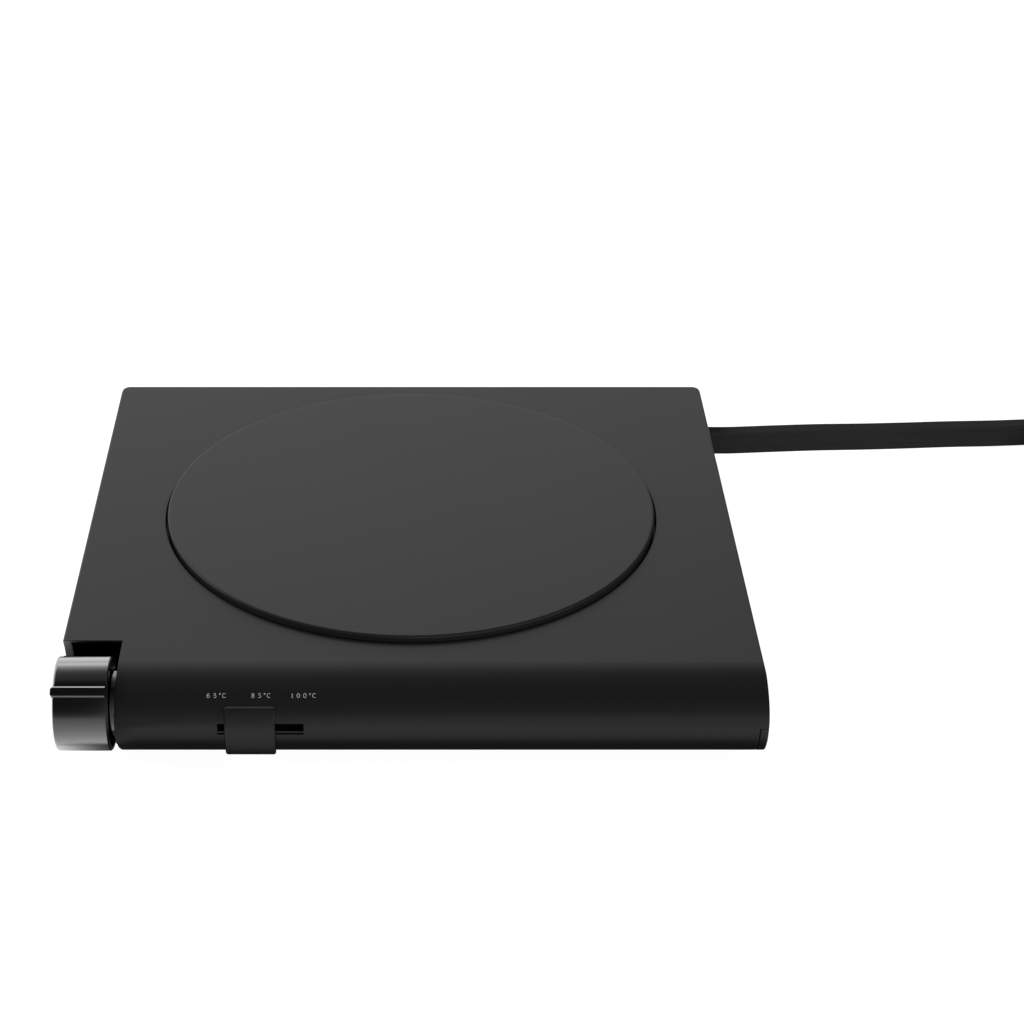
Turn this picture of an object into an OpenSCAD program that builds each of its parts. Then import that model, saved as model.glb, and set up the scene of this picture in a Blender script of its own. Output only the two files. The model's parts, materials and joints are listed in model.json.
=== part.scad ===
// Electric mug warmer: a flat square base with a round heating plate, a rotary
// power knob in a pocket at the left end of the rounded front edge, a sliding
// temperature selector beside it, and a flat two-core mains lead.
// Millimetres, Z up. The origin is on the table, under the middle of the base.

/* [Housing] */
// Width of the base, left to right
body_w = 130; // [124:1:160]
// Depth of the base, front to back
body_d = 123; // [121:1:160]
// Thickness of the base, without its feet and plate
body_t = 15.9; // [15:0.1:20]
// Thickness of the side, back and nose walls
wall = 1.8; // [1.4:0.1:2.2]
// Thickness of the top panel
panel_t = 2; // [1.5:0.1:2.5]
// Thickness of the bottom cover's floor
floor_t = 2; // [1.8:0.1:2.6]
// Radius of the two upright corners at the back
corner_r = 2.5; // [1:0.1:6]
// Radius of the top edges at the sides and the back
edge_r = 0.5; // [0.2:0.1:1.2]
// Height of the foremost line of the nose above the underside
nose_mid = 8.8; // [7.5:0.1:10]
// How far back the upper curve of the nose runs
nose_top_run = 11.4; // [9:0.1:14]
// How far back the lower curve of the nose runs
nose_low_run = 7.9; // [6:0.1:10]
// Height of the parting line between shell and cover above the underside
parting_h = 8.6; // [8:0.1:10]
// Thickness of the cover's upright lip
lip_t = 1.5; // [1.2:0.1:2]
// Width of the visible seam between shell and cover
seam = 0.12; // [0.08:0.01:0.3]

/* [Feet] */
// Height of the gap between the table and the underside
foot_h = 2; // [1.8:0.1:4]
// Diameter of a rubber foot
foot_d = 10; // [8:0.5:14]
// Depth of the recess that holds a foot
foot_seat = 0.6; // [0.4:0.1:1]

/* [Heating plate] */
// Diameter of the heating plate
plate_d = 99.2; // [80:0.1:104]
// Dark gap between the plate and the top panel
plate_gap = 0.35; // [0.25:0.05:0.8]
// Height of the plate above the top panel
plate_rise = 1.2; // [0.6:0.1:2.5]
// Thickness of the plate
plate_t = 3; // [2.4:0.1:3.6]
// Radius of the plate's upper edge
plate_edge_r = 0.8; // [0.3:0.1:1]
// Distance of the plate's centre behind the nose
plate_y_in = 67.3; // [66:0.1:80]
// How far the plate's flange reaches under the top panel
flange_reach = 2.1; // [1.5:0.1:2.4]
// Thickness of the flange
flange_t = 0.9; // [0.7:0.1:1.2]
// Thickness of the silicone seal on the flange
seal_t = 0.4; // [0.3:0.1:0.6]
// Thickness of the mica heater
heater_t = 0.8; // [0.6:0.1:1]
// Thickness of the insulation pad
insulation_t = 2.6; // [2:0.1:3]
// Thickness of the steel heat shield
shield_t = 0.8; // [0.6:0.1:1]

/* [Knob] */
// Diameter of the knob
knob_d = 17.5; // [14:0.1:21]
// Length of the knob
knob_l = 10.1; // [9:0.1:11]
// Distance of the knob's axis behind the nose
knob_y_in = 8.3; // [7.5:0.1:9.5]
// Height of the knob's axis above the underside
knob_axis_h = 8.6; // [8.2:0.1:9.4]
// Gap all round between the knob and its pocket
pocket_gap = 3.5; // [2:0.1:4]
// Depth of the relief behind the lip at the top of the pocket
pocket_relief = 1.1; // [0.6:0.1:1.4]
// Height of that lip
pocket_lip = 0.8; // [0.6:0.1:1.2]
// Gap between the knob's inner end and the wall beside it
knob_wall_gap = 1.1; // [0.9:0.05:1.6]
// Thickness of the chromed sleeve
sleeve_t = 0.8; // [0.6:0.1:1.2]
// Width of the black pointer bar
pointer_w = 1.3; // [1:0.1:2]
// Width of the chamfer along each lip of the pointer's groove
pointer_lip = 0.35; // [0.15:0.05:0.5]
// How far the pointer stands out of the sleeve
pointer_proud = 0.3; // [0.1:0.05:0.4]
// Angle of the pointer above the horizontal, towards the front
pointer_angle = 48; // [0:1:90]
// Diameter of the collar behind the knob
collar_d = 12.6; // [10:0.1:13]
// How far the sleeve's open inner end stands over the knob's core
knob_recess = 1; // [0.8:0.1:1.5]
// Diameter of the switch shaft
shaft_d = 6; // [5:0.1:6.4]
// Diameter of the rotary switch behind the knob
switch_d = 9.4; // [8.6:0.1:9.6]

/* [Slider] */
// Width of the slider cap
cap_w = 9.2; // [8:0.1:12]
// Thickness of the slider cap
cap_t = 0.75; // [0.6:0.05:1.1]
// Length of the slot in the nose
slot_l = 15.7; // [13:0.1:19]
// Height of the slot
slot_h = 2.4; // [2:0.1:3]
// Distance of the slot's middle from the left end of the base
slot_x_in = 37.7; // [36:0.1:46]
// How far left of the slot's middle the slider stands at rest
slider_rest = 1.9; // [0:0.1:3]
// Width of the neck that passes through the slot
neck_w = 3; // [2.4:0.1:4]

/* [Mains lead] */
// Width of the flat lead, which stands on edge
cord_h = 5.3; // [4.6:0.1:6]
// Thickness of the flat lead
cord_t = 3; // [2.6:0.1:3.6]
// Distance of the lead from the back of the base
cord_y_in = 12.2; // [11:0.1:16]
// Radius to the middle of the coil's turns
coil_r = 30; // [27:0.5:32]
// Turns side by side in each layer of the coil
coil_turns = 4; // [3:1:5]
// Distance between turns side by side
coil_pitch = 3.3; // [3.1:0.1:4]

/* [Hidden] */

$fn = 64;
eps = 0.01;

// Planes of the base
front_y = -body_d / 2;
back_y = body_d / 2;
side_x = body_w / 2;
under_z = foot_h;
top_z = foot_h + body_t;
ceiling_z = top_z - panel_t;
floor_z = under_z + floor_t;
parting_z = under_z + parting_h;
nose_z = under_z + nose_mid;
inner_x = side_x - wall;
// The nose is closed at its right end by a wall inside the cover's lip
nose_end_x = side_x - lip_t - seam;
// Depth of the shell's own floor under the nose
nose_floor_d = 12;
cover_front_y = front_y + nose_floor_d + seam;
// Steps of the two quarter curves of the nose
nose_steps = 24;

// Knob, its pocket and the switch behind it, all on one axis along X
knob_y = front_y + knob_y_in;
knob_z = under_z + knob_axis_h;
knob_r = knob_d / 2;
knob_out_x = -side_x;
knob_in_x = knob_out_x + knob_l;
pocket_r = knob_r + pocket_gap;
pocket_x = knob_in_x + knob_wall_gap;
pocket_inner_x = pocket_x + wall;
pocket_back_y = knob_y + pocket_r + pocket_relief + wall;
run_fit = 0.05;
bushing_r = shaft_d / 2 + 0.5;
bushing_out_x = pocket_x - 0.8;
collar_x = knob_in_x - knob_recess + 0.4;
switch_r = switch_d / 2;
switch_l = 8.5;
switch_back_x = pocket_inner_x + switch_l;
shaft_out_x = knob_out_x + 2.5;
shaft_flat = 0.6;
rotor_r = switch_r - 0.9;
rotor_t = 1.2;
rotor_x = pocket_inner_x + 4;

// Slider, its slot and its rails
slot_x = -side_x + slot_x_in;
slot_z = under_z + 8.5;
pad_d = 3.4;
rib_z = slot_z - slot_h / 2 + 0.28;
rib_h = 0.3;
slide_fit = 0.1;
slider_x = slot_x - slider_rest;
neck_low_z = rib_z + rib_h + slide_fit;
neck_high_z = slot_z + slot_h / 2 - slide_fit;
cap_top_angle = 31;
cap_end_angle = -66;
carriage_w = 12;
carriage_t = 1.1;
carriage_low = 3.2;
carriage_high = 2.7;
carriage_y = front_y + pad_d + slide_fit;
carriage_back_y = carriage_y + carriage_t;
fork_z = under_z + 5.4;
fork_h = 1.6;
lever_w = 2.4;

// Heating plate and what is stacked under it
plate_y = front_y + plate_y_in;
plate_r = plate_d / 2;
plate_top_z = top_z + plate_rise;
plate_low_z = plate_top_z - plate_t;
opening_r = plate_r + plate_gap;
flange_r = opening_r + flange_reach;
flange_top_z = ceiling_z - seal_t;
flange_low_z = flange_top_z - flange_t;
bowl_r = plate_r - 3.6;
stack_r = bowl_r - 0.3;
heater_low_z = plate_low_z - heater_t;
track_t = 0.3;
track_w = 1.5;
pad_low_z = heater_low_z - track_t - insulation_t;
shield_low_z = pad_low_z - shield_t;
well_r = 8.5;
stud_ring_r = plate_r - 11.6;
stud_r = 2.6;
clamp_ring_r = flange_r + 5.3;
clamp_angles = [55, 125, 235, 305];
clamp_t = 0.9;
stud_angles = [30, 150, 270];
// The resistance tracks lie between the sensor's well and the studs
track_in_r = well_r + 4.5;
track_out_r = stud_ring_r - 11;
terminal_angle = 14;
terminal_r = stack_r - 4;
sensor_r = 1.4;
fuse_r = 1.5;
clip_w = 3.6;

// Screws: radius of the shank and of the head, height of the head
cover_screw = [1.3, 2.6, 1.1];
small_screw = [1, 1.9, 0.9];
hole_fit = 0.05;

// Places of the cover's screws and of the feet
cover_boss_r = 3.2;
cover_boss_x = side_x - 8;
cover_boss_front_y = front_y + 28.5;
cover_boss_back_y = back_y - 21.5;
cover_bosses = [for (x = [-1, 1], y = [cover_boss_front_y, cover_boss_back_y])
    [x * cover_boss_x, y]];
foot_places = [[-side_x + 19, front_y + 20], [side_x - 19, front_y + 20],
    [-side_x + 13, back_y - 11], [side_x - 13, back_y - 11]];

// Control board, along the nose, and what stands on it
board_t = 1.2;
board_low_z = floor_z + 1.3;
board_z = board_low_z + board_t;
board_x0 = slot_x - 12;
board_x1 = side_x - 6;
board_y0 = front_y + 7.6;
board_y1 = front_y + 17;
board_screw_y = front_y + 14.9;
board_screw_x = [board_x0 + 4.3, slot_x + 12.3, side_x - 22.5];
relay_x = slot_x + 43.8;
capacitor_x = side_x - 32;
terminal_x = side_x - 15;

// Where the lead leaves the base, and its clamp
cord_y = back_y - cord_y_in;
cord_z = parting_z;
gland_w = 6.4;
gland_h = 8.8;
clamp_x = side_x - 20;
clamp_l = 6;
clamp_reach = 7;
clamp_bar_t = 1.3;
tail_end_x = clamp_x - 5;
wire_r = 0.8;
core_offset = 1.3;

// Route of the lead from the exit to its coil, counted from the exit across
// the table and from the table upwards, each point chosen by hand
cord_route = [[0, 0, 10.6], [1, 0, 10.6], [6, 0, 10.6], [16, 1.5, 10.2],
    [26, 4, 9.2], [36.5, 7.5, 7.5], [47, 11, 5.9], [58, 14.5, 4.4],
    [69, 17, 3.3], [79, 18.5, 2.9], [90, 19.5, 2.9], [101, 19, 3.1],
    [111, 18, 3.2], [121, 17, 3.2]];
// Middle of the coil, counted from the exit
coil_x = side_x + 115;
coil_y = cord_y - 17.5;
tie_t = 0.5;
coil_low_z = tie_t;
coil_layers = 2;
layer_gap = 0.1;
coil_half = (coil_turns - 1) / 2 * coil_pitch + cord_t / 2;
coil_in_r = coil_r - coil_half - 0.2;
coil_out_r = coil_r + coil_half + 0.2;
coil_high_z = coil_low_z + coil_layers * (cord_h + layer_gap);
tie_w = 4;
// Route from the coil to the plug, counted from the middle of the coil
plug_route = [[35, 0, 8.6], [34.8, -6, 7.6], [33.8, -12, 6.6],
    [32.4, -18, 6.5], [31.2, -24, 6.9], [31, -28, 7], [31, -29, 7], [31, -30, 7]];
plug_x = coil_x + 31;
plug_boot_y = coil_y - 30;
plug_boot_l = 20;
plug_l = 35;
plug_w = 35;
plug_h = 14;
pin_gap = 19;
pin_r = 2;
pin_l = 9;
pin_sleeve_r = 1.9;
pin_sleeve_l = 10;
plug_back_y = plug_boot_y - plug_boot_l;
plug_face_y = plug_back_y - plug_l;

// Colours
matt_black = [0.09, 0.09, 0.1];
plate_black = [0.12, 0.12, 0.13];
rubber_black = [0.05, 0.05, 0.05];
dark_chrome = [0.62, 0.62, 0.64];
steel = [0.72, 0.73, 0.74];
brass = [0.78, 0.62, 0.3];
mica = [0.78, 0.7, 0.55];
fibre = [0.9, 0.9, 0.86];
silicone = [0.55, 0.2, 0.16];
board_green = [0.1, 0.35, 0.2];
lead_white = [0.85, 0.85, 0.83];

// ---------------------------------------------------------------- shared forms

// Point of the nose at an angle from 90 (top) over 0 (foremost) to -90
// (bottom), moved outwards by off
function nose_point(angle, off = 0) =
    let (run = angle > 0 ? nose_top_run : nose_low_run,
        rise = angle > 0 ? top_z - nose_z : nose_z - under_z,
        out = [-cos(angle) / run, sin(angle) / rise])
    [front_y + run - run * cos(angle), nose_z + rise * sin(angle)]
        + off * out / norm(out);

// The same curve for the inside of the nose
function nose_inside(angle) =
    let (run = (angle > 0 ? nose_top_run : nose_low_run) - wall,
        rise = angle > 0 ? ceiling_z - nose_z : nose_z - under_z - wall)
    [front_y + wall + run - run * cos(angle), nose_z + rise * sin(angle)];

function nose_angles(from = 90, to = -90) =
    [for (i = [0:2 * nose_steps]) from + (to - from) * i / (2 * nose_steps)];

function arc(centre, r, from, to, steps = 6) =
    [for (i = [0:steps]) let (a = from + (to - from) * i / steps)
        centre + r * [cos(a), sin(a)]];

// Outline of a rectangle with round corners, from its low to its high corner
function rounded(low, high, r) = concat(
    arc([high[0] - r, high[1] - r], r, 0, 90),
    arc([low[0] + r, high[1] - r], r, 90, 180),
    arc([low[0] + r, low[1] + r], r, 180, 270),
    arc([high[0] - r, low[1] + r], r, 270, 360));

// A drawing in Y and Z, drawn out along X
module along_x(x0, x1) {
    translate([x0, 0, 0]) rotate([90, 0, 90]) linear_extrude(x1 - x0) children();
}

// A drawing in X and Z, drawn out along Y
module along_y(y0, y1) {
    translate([0, y1, 0]) rotate([90, 0, 0]) linear_extrude(y1 - y0) children();
}

// A drawing in X and Y, drawn out along Z
module along_z(z0, z1) {
    translate([0, 0, z0]) linear_extrude(z1 - z0) children();
}

module box(low, high) {
    translate(low) cube(high - low);
}

// A round bar along X, Y or Z
module bar_x(x0, x1, y, z, r) {
    translate([x0, y, z]) rotate([0, 90, 0]) cylinder(r = r, h = x1 - x0);
}

module bar_y(x, y0, y1, z, r) {
    translate([x, y1, z]) rotate([90, 0, 0]) cylinder(r = r, h = y1 - y0);
}

module bar_z(x, y, z0, z1, r) {
    translate([x, y, z0]) cylinder(r = r, h = z1 - z0);
}

// A pan-head screw that points up; its head hangs below z
module screw_up(size, x, y, z, l) {
    difference() {
        union() {
            bar_z(x, y, z - size[2], z, size[1]);
            bar_z(x, y, z - eps, z + l, size[0]);
        }
        cross_slot(size, x, y, z - size[2]);
    }
}

// The same screw pointing down; its head stands above z
module screw_down(size, x, y, z, l) {
    difference() {
        union() {
            bar_z(x, y, z, z + size[2], size[1]);
            bar_z(x, y, z - l, z + eps, size[0]);
        }
        cross_slot(size, x, y, z + size[2]);
    }
}

module cross_slot(size, x, y, z) {
    half = size[1] * 0.55;
    thin = size[1] * 0.13;
    deep = size[2] * 0.5;
    box([x - half, y - thin, z - deep], [x + half, y + thin, z + deep]);
    box([x - thin, y - half, z - deep], [x + thin, y + half, z + deep]);
}

// A section swept along a path. The section lies across the path, its first
// number to the left of the way ahead and its second upwards.
function ahead(path, i) =
    let (d = path[min(i + 1, len(path) - 1)] - path[max(i - 1, 0)]) d / norm(d);

function sweep_ring(path, i, section) =
    let (t = ahead(path, i),
        hint = abs(t[2]) > 0.95 ? [0, 1, 0] : [0, 0, 1],
        left = cross(hint, t) / norm(cross(hint, t)),
        up = cross(t, left))
    [for (s = section) path[i] + s[0] * left + s[1] * up];

module sweep(path, section) {
    sides = len(section);
    last = len(path) - 1;
    points = [for (i = [0:last]) each sweep_ring(path, i, section)];
    walls = [for (i = [0:last - 1], j = [0:sides - 1])
        let (k = (j + 1) % sides)
        each [[i * sides + j, (i + 1) * sides + j, (i + 1) * sides + k],
            [i * sides + j, (i + 1) * sides + k, i * sides + k]]];
    near_end = [[for (j = [0:sides - 1]) j]];
    far_end = [[for (j = [sides - 1:-1:0]) last * sides + j]];
    polyhedron(points, concat(walls, near_end, far_end));
}

// Smooth curve through the points, with some steps between each two
function smooth(points, steps) =
    [for (i = [0:len(points) - 2], s = [0:steps - 1])
        let (a = points[max(i - 1, 0)], b = points[i], c = points[i + 1],
            d = points[min(i + 2, len(points) - 1)], u = s / steps)
        b + 0.5 * (u * (c - a) + u * u * (2 * a - 5 * b + 4 * c - d)
            + u * u * u * (3 * b - a - 3 * c + d)),
        points[len(points) - 1]];

function ring_section(r, sides = 8) =
    [for (i = [0:sides - 1]) r * [cos(360 * i / sides), sin(360 * i / sides)]];

// Section of the flat lead: upright, with its long edges eased
function cord_section(ease = 0.6) =
    let (x = cord_t / 2, y = cord_h / 2)
    [[x, -y + ease], [x, y - ease], [x - ease, y], [-x + ease, y],
        [-x, y - ease], [-x, -y + ease], [-x + ease, -y], [x - ease, -y]];

function at_angle(r, a) = [r * cos(a), plate_y + r * sin(a)];

// -------------------------------------------------------------------- housing

function side_profile() = concat(
    [[back_y, under_z]],
    arc([back_y - edge_r, top_z - edge_r], edge_r, 0, 90, 4),
    [for (a = nose_angles()) nose_point(a)]);

function plan_profile() = concat(
    [[-side_x, front_y - 1], [side_x, front_y - 1]],
    arc([side_x - corner_r, back_y - corner_r], corner_r, 0, 90),
    arc([-side_x + corner_r, back_y - corner_r], corner_r, 90, 180));

function front_profile() = concat(
    [[-side_x, under_z - 1], [side_x, under_z - 1]],
    arc([side_x - edge_r, top_z - edge_r], edge_r, 0, 90, 4),
    arc([-side_x + edge_r, top_z - edge_r], edge_r, 90, 180, 4));

// Closed outer form of the base
module body_form() {
    intersection() {
        along_x(-side_x, side_x) polygon(side_profile());
        along_z(under_z - 1, top_z + 1) polygon(plan_profile());
        along_y(front_y - 1, back_y + 1) polygon(front_profile());
    }
}

// Hollow of the shell behind the nose. Below the parting line the walls belong
// to the cover.
module main_hollow() {
    difference() {
        union() {
            box([-inner_x, front_y + nose_floor_d, under_z - 1],
                [inner_x, back_y - wall, ceiling_z]);
            box([-side_x - 1, front_y + nose_floor_d, under_z - 1],
                [nose_end_x, back_y + 1, parting_z]);
        }
        box([-side_x - 1, front_y, under_z - 2],
            [pocket_inner_x, pocket_back_y, top_z]);
    }
}

// Hollow of the nose, closed below by the shell's own floor
module nose_hollow() {
    along_x(pocket_inner_x, nose_end_x - wall)
        polygon(concat([for (a = nose_angles()) nose_inside(a)],
            [[front_y + nose_floor_d + eps, under_z + wall],
            [front_y + nose_floor_d + eps, ceiling_z]]));
}

// Space that the cover's lips take up at the sides and the back
module lip_space(gap) {
    inset = lip_t + gap;
    box([side_x - inset, front_y - 1, under_z - 1],
        [side_x + 1, back_y + 1, parting_z]);
    box([-side_x - 1, pocket_back_y + seam - gap, under_z - 1],
        [-side_x + inset, back_y + 1, parting_z]);
    box([-side_x - 1, back_y - inset, under_z - 1],
        [side_x + 1, back_y + 1, parting_z]);
}

// Skirt of the shell that reaches down inside the cover's lips
module inner_skirt() {
    thick = 1.1;
    outer = lip_t + 0.15;
    low = parting_z - 2.5;
    high = parting_z + 1.5;
    box([side_x - outer - thick, front_y + nose_floor_d, low],
        [side_x - outer, back_y - outer, high]);
    box([-side_x + outer, pocket_back_y - eps, low],
        [-side_x + outer + thick, back_y - outer, high]);
    box([-side_x + outer, back_y - outer - thick, low],
        [side_x - outer, back_y - outer, high]);
}

module cover_boss_columns() {
    for (p = cover_bosses) bar_z(p[0], p[1], floor_z, ceiling_z + eps, cover_boss_r);
}

module plate_boss_columns() {
    for (a = clamp_angles) let (p = at_angle(clamp_ring_r, a))
        bar_z(p[0], p[1], flange_low_z, ceiling_z + eps, 3);
}

// Flat land behind the slot, with a rail above and below the carriage
module slider_land() {
    half = slot_l / 2 + 7;
    low = slot_z - carriage_low - 0.1;
    high = slot_z + carriage_high + 0.1;
    intersection() {
        along_x(-side_x, side_x) polygon(side_profile());
        union() {
            box([slot_x - half, front_y - 1, low - 1],
                [slot_x + half, front_y + pad_d, high + 0.8]);
            box([slot_x - half, front_y + pad_d - eps, high],
                [slot_x + half, carriage_back_y, high + 0.8]);
            box([slot_x - half, front_y + pad_d - eps, low - 1],
                [slot_x + half, carriage_back_y, low]);
        }
    }
}

// Slot of the slider, with a thin guide rib left standing along its foot
module slider_slot() {
    difference() {
        box([slot_x - slot_l / 2, front_y - 1, slot_z - slot_h / 2],
            [slot_x + slot_l / 2, front_y + pad_d + 1, slot_z + slot_h / 2]);
        box([slot_x - slot_l, front_y + 0.3, rib_z],
            [slot_x + slot_l, front_y + 0.7, rib_z + rib_h]);
    }
}

// Relief in the pocket's back wall, under the lip at its top and beside the
// thicker outer wall
module pocket_relief_space() {
    intersection() {
        bar_x(-side_x + 1.6, pocket_x, knob_y, knob_z, pocket_r + pocket_relief);
        box([-side_x, knob_y + pocket_r / 2, knob_z - 2],
            [pocket_x, pocket_back_y, top_z - pocket_lip]);
    }
}

// Opening for the gland in the right wall, half in the shell, half in the cover
module gland_opening(gap) {
    box([side_x - 5, cord_y - gland_w / 2 - gap, cord_z - gland_h / 2 - gap],
        [side_x + 1, cord_y + gland_w / 2 + gap, cord_z + gland_h / 2 + gap]);
}

module top_shell() {
    color(matt_black) difference() {
        union() {
            difference() {
                body_form();
                main_hollow();
                nose_hollow();
            }
            inner_skirt();
            cover_boss_columns();
            plate_boss_columns();
            slider_land();
        }
        lip_space(seam);
        slider_slot();
        gland_opening(0);
        bar_z(0, plate_y, ceiling_z - 1, top_z + 1, opening_r);
        bar_x(-side_x - 1, pocket_x, knob_y, knob_z, pocket_r);
        pocket_relief_space();
        bar_x(pocket_x - 1, pocket_inner_x + 1, knob_y, knob_z, bushing_r + hole_fit);
        for (p = cover_bosses)
            bar_z(p[0], p[1], floor_z - 1, floor_z + 8, cover_screw[0] + hole_fit);
        for (a = clamp_angles) let (p = at_angle(clamp_ring_r, a))
            bar_z(p[0], p[1], flange_low_z - 1, ceiling_z + 0.6,
                small_screw[0] + hole_fit);
    }
}

// A slot with round ends, cut through the cover's floor
module vent(x, y, l, w) {
    box([x - l / 2, y - w / 2, under_z - 1], [x + l / 2, y + w / 2, floor_z + 1]);
    bar_z(x - l / 2, y, under_z - 1, floor_z + 1, w / 2);
    bar_z(x + l / 2, y, under_z - 1, floor_z + 1, w / 2);
}

module vent_rows() {
    for (side = [-1, 1], i = [0:5])
        vent(side * 17, plate_y + (i - 2.5) * 7, 20, 2.4);
}

// Floor of the cover, with a tongue that laps over the shell's nose floor
module cover_floor() {
    intersection() {
        box([-side_x, cover_front_y, under_z], [side_x, back_y, floor_z]);
        along_z(under_z - 1, floor_z + 1) polygon(plan_profile());
    }
    box([pocket_inner_x + 2, cover_front_y, floor_z - eps],
        [nose_end_x - wall - 1.5, cover_front_y + 2, floor_z + 0.9]);
    box([pocket_inner_x + 2, cover_front_y - 2.5, under_z + wall + 0.1],
        [nose_end_x - wall - 1.5, cover_front_y + eps, floor_z + 0.9]);
}

// Block with the channel that the lead's tail lies in, under its clamp
module clamp_block() {
    difference() {
        box([clamp_x, cord_y - clamp_reach, floor_z - eps],
            [clamp_x + clamp_l, cord_y + clamp_reach, cord_z + cord_h / 2]);
        box([clamp_x - 1, cord_y - cord_t / 2, cord_z - cord_h / 2],
            [clamp_x + clamp_l + 1, cord_y + cord_t / 2, cord_z + cord_h]);
        for (side = [-1, 1])
            bar_z(clamp_x + clamp_l / 2, cord_y + side * 4.4, floor_z + 1,
                cord_z + cord_h, small_screw[0] + hole_fit);
    }
}

module bottom_cover() {
    color(matt_black) difference() {
        union() {
            cover_floor();
            intersection() {
                body_form();
                lip_space(0);
            }
            clamp_block();
            for (x = board_screw_x) bar_z(x, board_screw_y, floor_z - eps, board_low_z, 2.2);
        }
        box([-side_x - 1, front_y, under_z - 1],
            [pocket_inner_x + seam, pocket_back_y + seam, parting_z + 1]);
        gland_opening(0);
        vent_rows();
        for (p = foot_places)
            bar_z(p[0], p[1], under_z - 1, under_z + foot_seat, foot_d / 2 + 0.1);
        for (p = cover_bosses) {
            bar_z(p[0], p[1], under_z - 1, floor_z + 1, cover_screw[0] + 0.2);
            bar_z(p[0], p[1], under_z - 1, under_z + cover_screw[2], cover_screw[1] + 0.2);
        }
        for (x = board_screw_x)
            bar_z(x, board_screw_y, under_z + 0.8, board_low_z + 1,
                small_screw[0] + hole_fit);
    }
}

module cover_screws() {
    color(steel) for (p = cover_bosses)
        screw_up(cover_screw, p[0], p[1], under_z + cover_screw[2], 8);
}

module rubber_feet() {
    ease = 0.4;
    color(rubber_black) for (p = foot_places) translate([p[0], p[1], 0])
        rotate_extrude() polygon([[0, 0], [foot_d / 2 - ease, 0], [foot_d / 2, ease],
            [foot_d / 2, under_z + foot_seat], [0, under_z + foot_seat]]);
}

// -------------------------------------------------------------- heating plate

module heating_plate() {
    e = plate_edge_r;
    color(plate_black) translate([0, plate_y, 0]) difference() {
        union() {
            rotate_extrude($fn = 128) polygon(concat(
                [[0, plate_low_z], [bowl_r, plate_low_z], [bowl_r, flange_low_z],
                    [flange_r, flange_low_z], [flange_r, flange_top_z],
                    [plate_r, flange_top_z]],
                arc([plate_r - e, plate_top_z - e], e, 0, 90, 5),
                [[0, plate_top_z]]));
            for (a = stud_angles)
                bar_z(stud_ring_r * cos(a), stud_ring_r * sin(a),
                    pad_low_z, plate_low_z + eps, stud_r);
        }
        for (a = stud_angles)
            bar_z(stud_ring_r * cos(a), stud_ring_r * sin(a),
                pad_low_z - 1, plate_low_z, small_screw[0] + hole_fit);
    }
}

module plate_seal() {
    color(silicone) translate([0, plate_y, 0])
        rotate_extrude($fn = 128) polygon([[opening_r, flange_top_z],
            [flange_r, flange_top_z], [flange_r, ceiling_z], [opening_r, ceiling_z]]);
}

// Four steel tabs that hold the flange up against the top panel
module plate_clamps() {
    color(steel) for (a = clamp_angles) translate([0, plate_y, 0]) rotate(a)
        difference() {
            along_z(flange_low_z - clamp_t, flange_low_z)
                polygon(rounded([flange_r - 1.8, -3.5], [clamp_ring_r + 3.5, 3.5], 1));
            bar_z(clamp_ring_r, 0, flange_low_z - 2, flange_low_z + 1,
                small_screw[0] + 0.15);
        }
}

module plate_screws() {
    color(steel) for (a = clamp_angles) let (p = at_angle(clamp_ring_r, a))
        screw_up(small_screw, p[0], p[1], flange_low_z - clamp_t,
            clamp_t + ceiling_z - flange_low_z + 0.3);
}

module stack_disc(z0, z1, r, hole) {
    difference() {
        bar_z(0, plate_y, z0, z1, r);
        bar_z(0, plate_y, z0 - 1, z1 + 1, hole);
        for (a = stud_angles) let (p = at_angle(stud_ring_r, a))
            bar_z(p[0], p[1], z0 - 1, z1 + 1, stud_r + 0.3);
    }
}

// Places where the heater's two leads are joined
function terminals() = [for (side = [-1, 1])
    at_angle(terminal_r, -90 + side * terminal_angle)];

module heater_element() {
    color(mica) stack_disc(heater_low_z, plate_low_z, stack_r, well_r);
    color(steel) for (r = [track_in_r, (track_in_r + track_out_r) / 2, track_out_r])
        difference() {
            bar_z(0, plate_y, heater_low_z - track_t, heater_low_z + eps, r + track_w);
            bar_z(0, plate_y, heater_low_z - 1, heater_low_z + 1, r);
            box([-1.5, plate_y - r - 3, heater_low_z - 1],
                [1.5, plate_y - r + 2, heater_low_z + 1]);
        }
}

module insulation_pad() {
    color(fibre) difference() {
        stack_disc(pad_low_z, heater_low_z - track_t, stack_r, well_r);
        for (p = terminals()) bar_z(p[0], p[1], pad_low_z - 1, heater_low_z, 1.6);
    }
}

// Pressed steel pan that closes the stack; a rolled bead stiffens it
module heat_shield() {
    color(steel) difference() {
        union() {
            bar_z(0, plate_y, shield_low_z, pad_low_z, stack_r);
            translate([0, plate_y, 0]) rotate_extrude()
                polygon([[19, shield_low_z + eps], [20, shield_low_z - 0.5],
                    [23, shield_low_z - 0.5], [24, shield_low_z + eps]]);
        }
        bar_z(0, plate_y, shield_low_z - 1, pad_low_z + 1, 3.6);
        for (a = stud_angles) let (p = at_angle(stud_ring_r, a))
            bar_z(p[0], p[1], shield_low_z - 1, pad_low_z + 1, small_screw[0] + 0.15);
        for (p = terminals()) bar_z(p[0], p[1], shield_low_z - 1, pad_low_z + 1, 1.6);
    }
}

module shield_screws() {
    color(steel) for (a = stud_angles) let (p = at_angle(stud_ring_r, a))
        screw_up(small_screw, p[0], p[1], shield_low_z, shield_t + 2.6);
}

module temperature_sensor() {
    color(brass) bar_x(-3, 3, plate_y + 2.8, plate_low_z - sensor_r, sensor_r);
}

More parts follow.
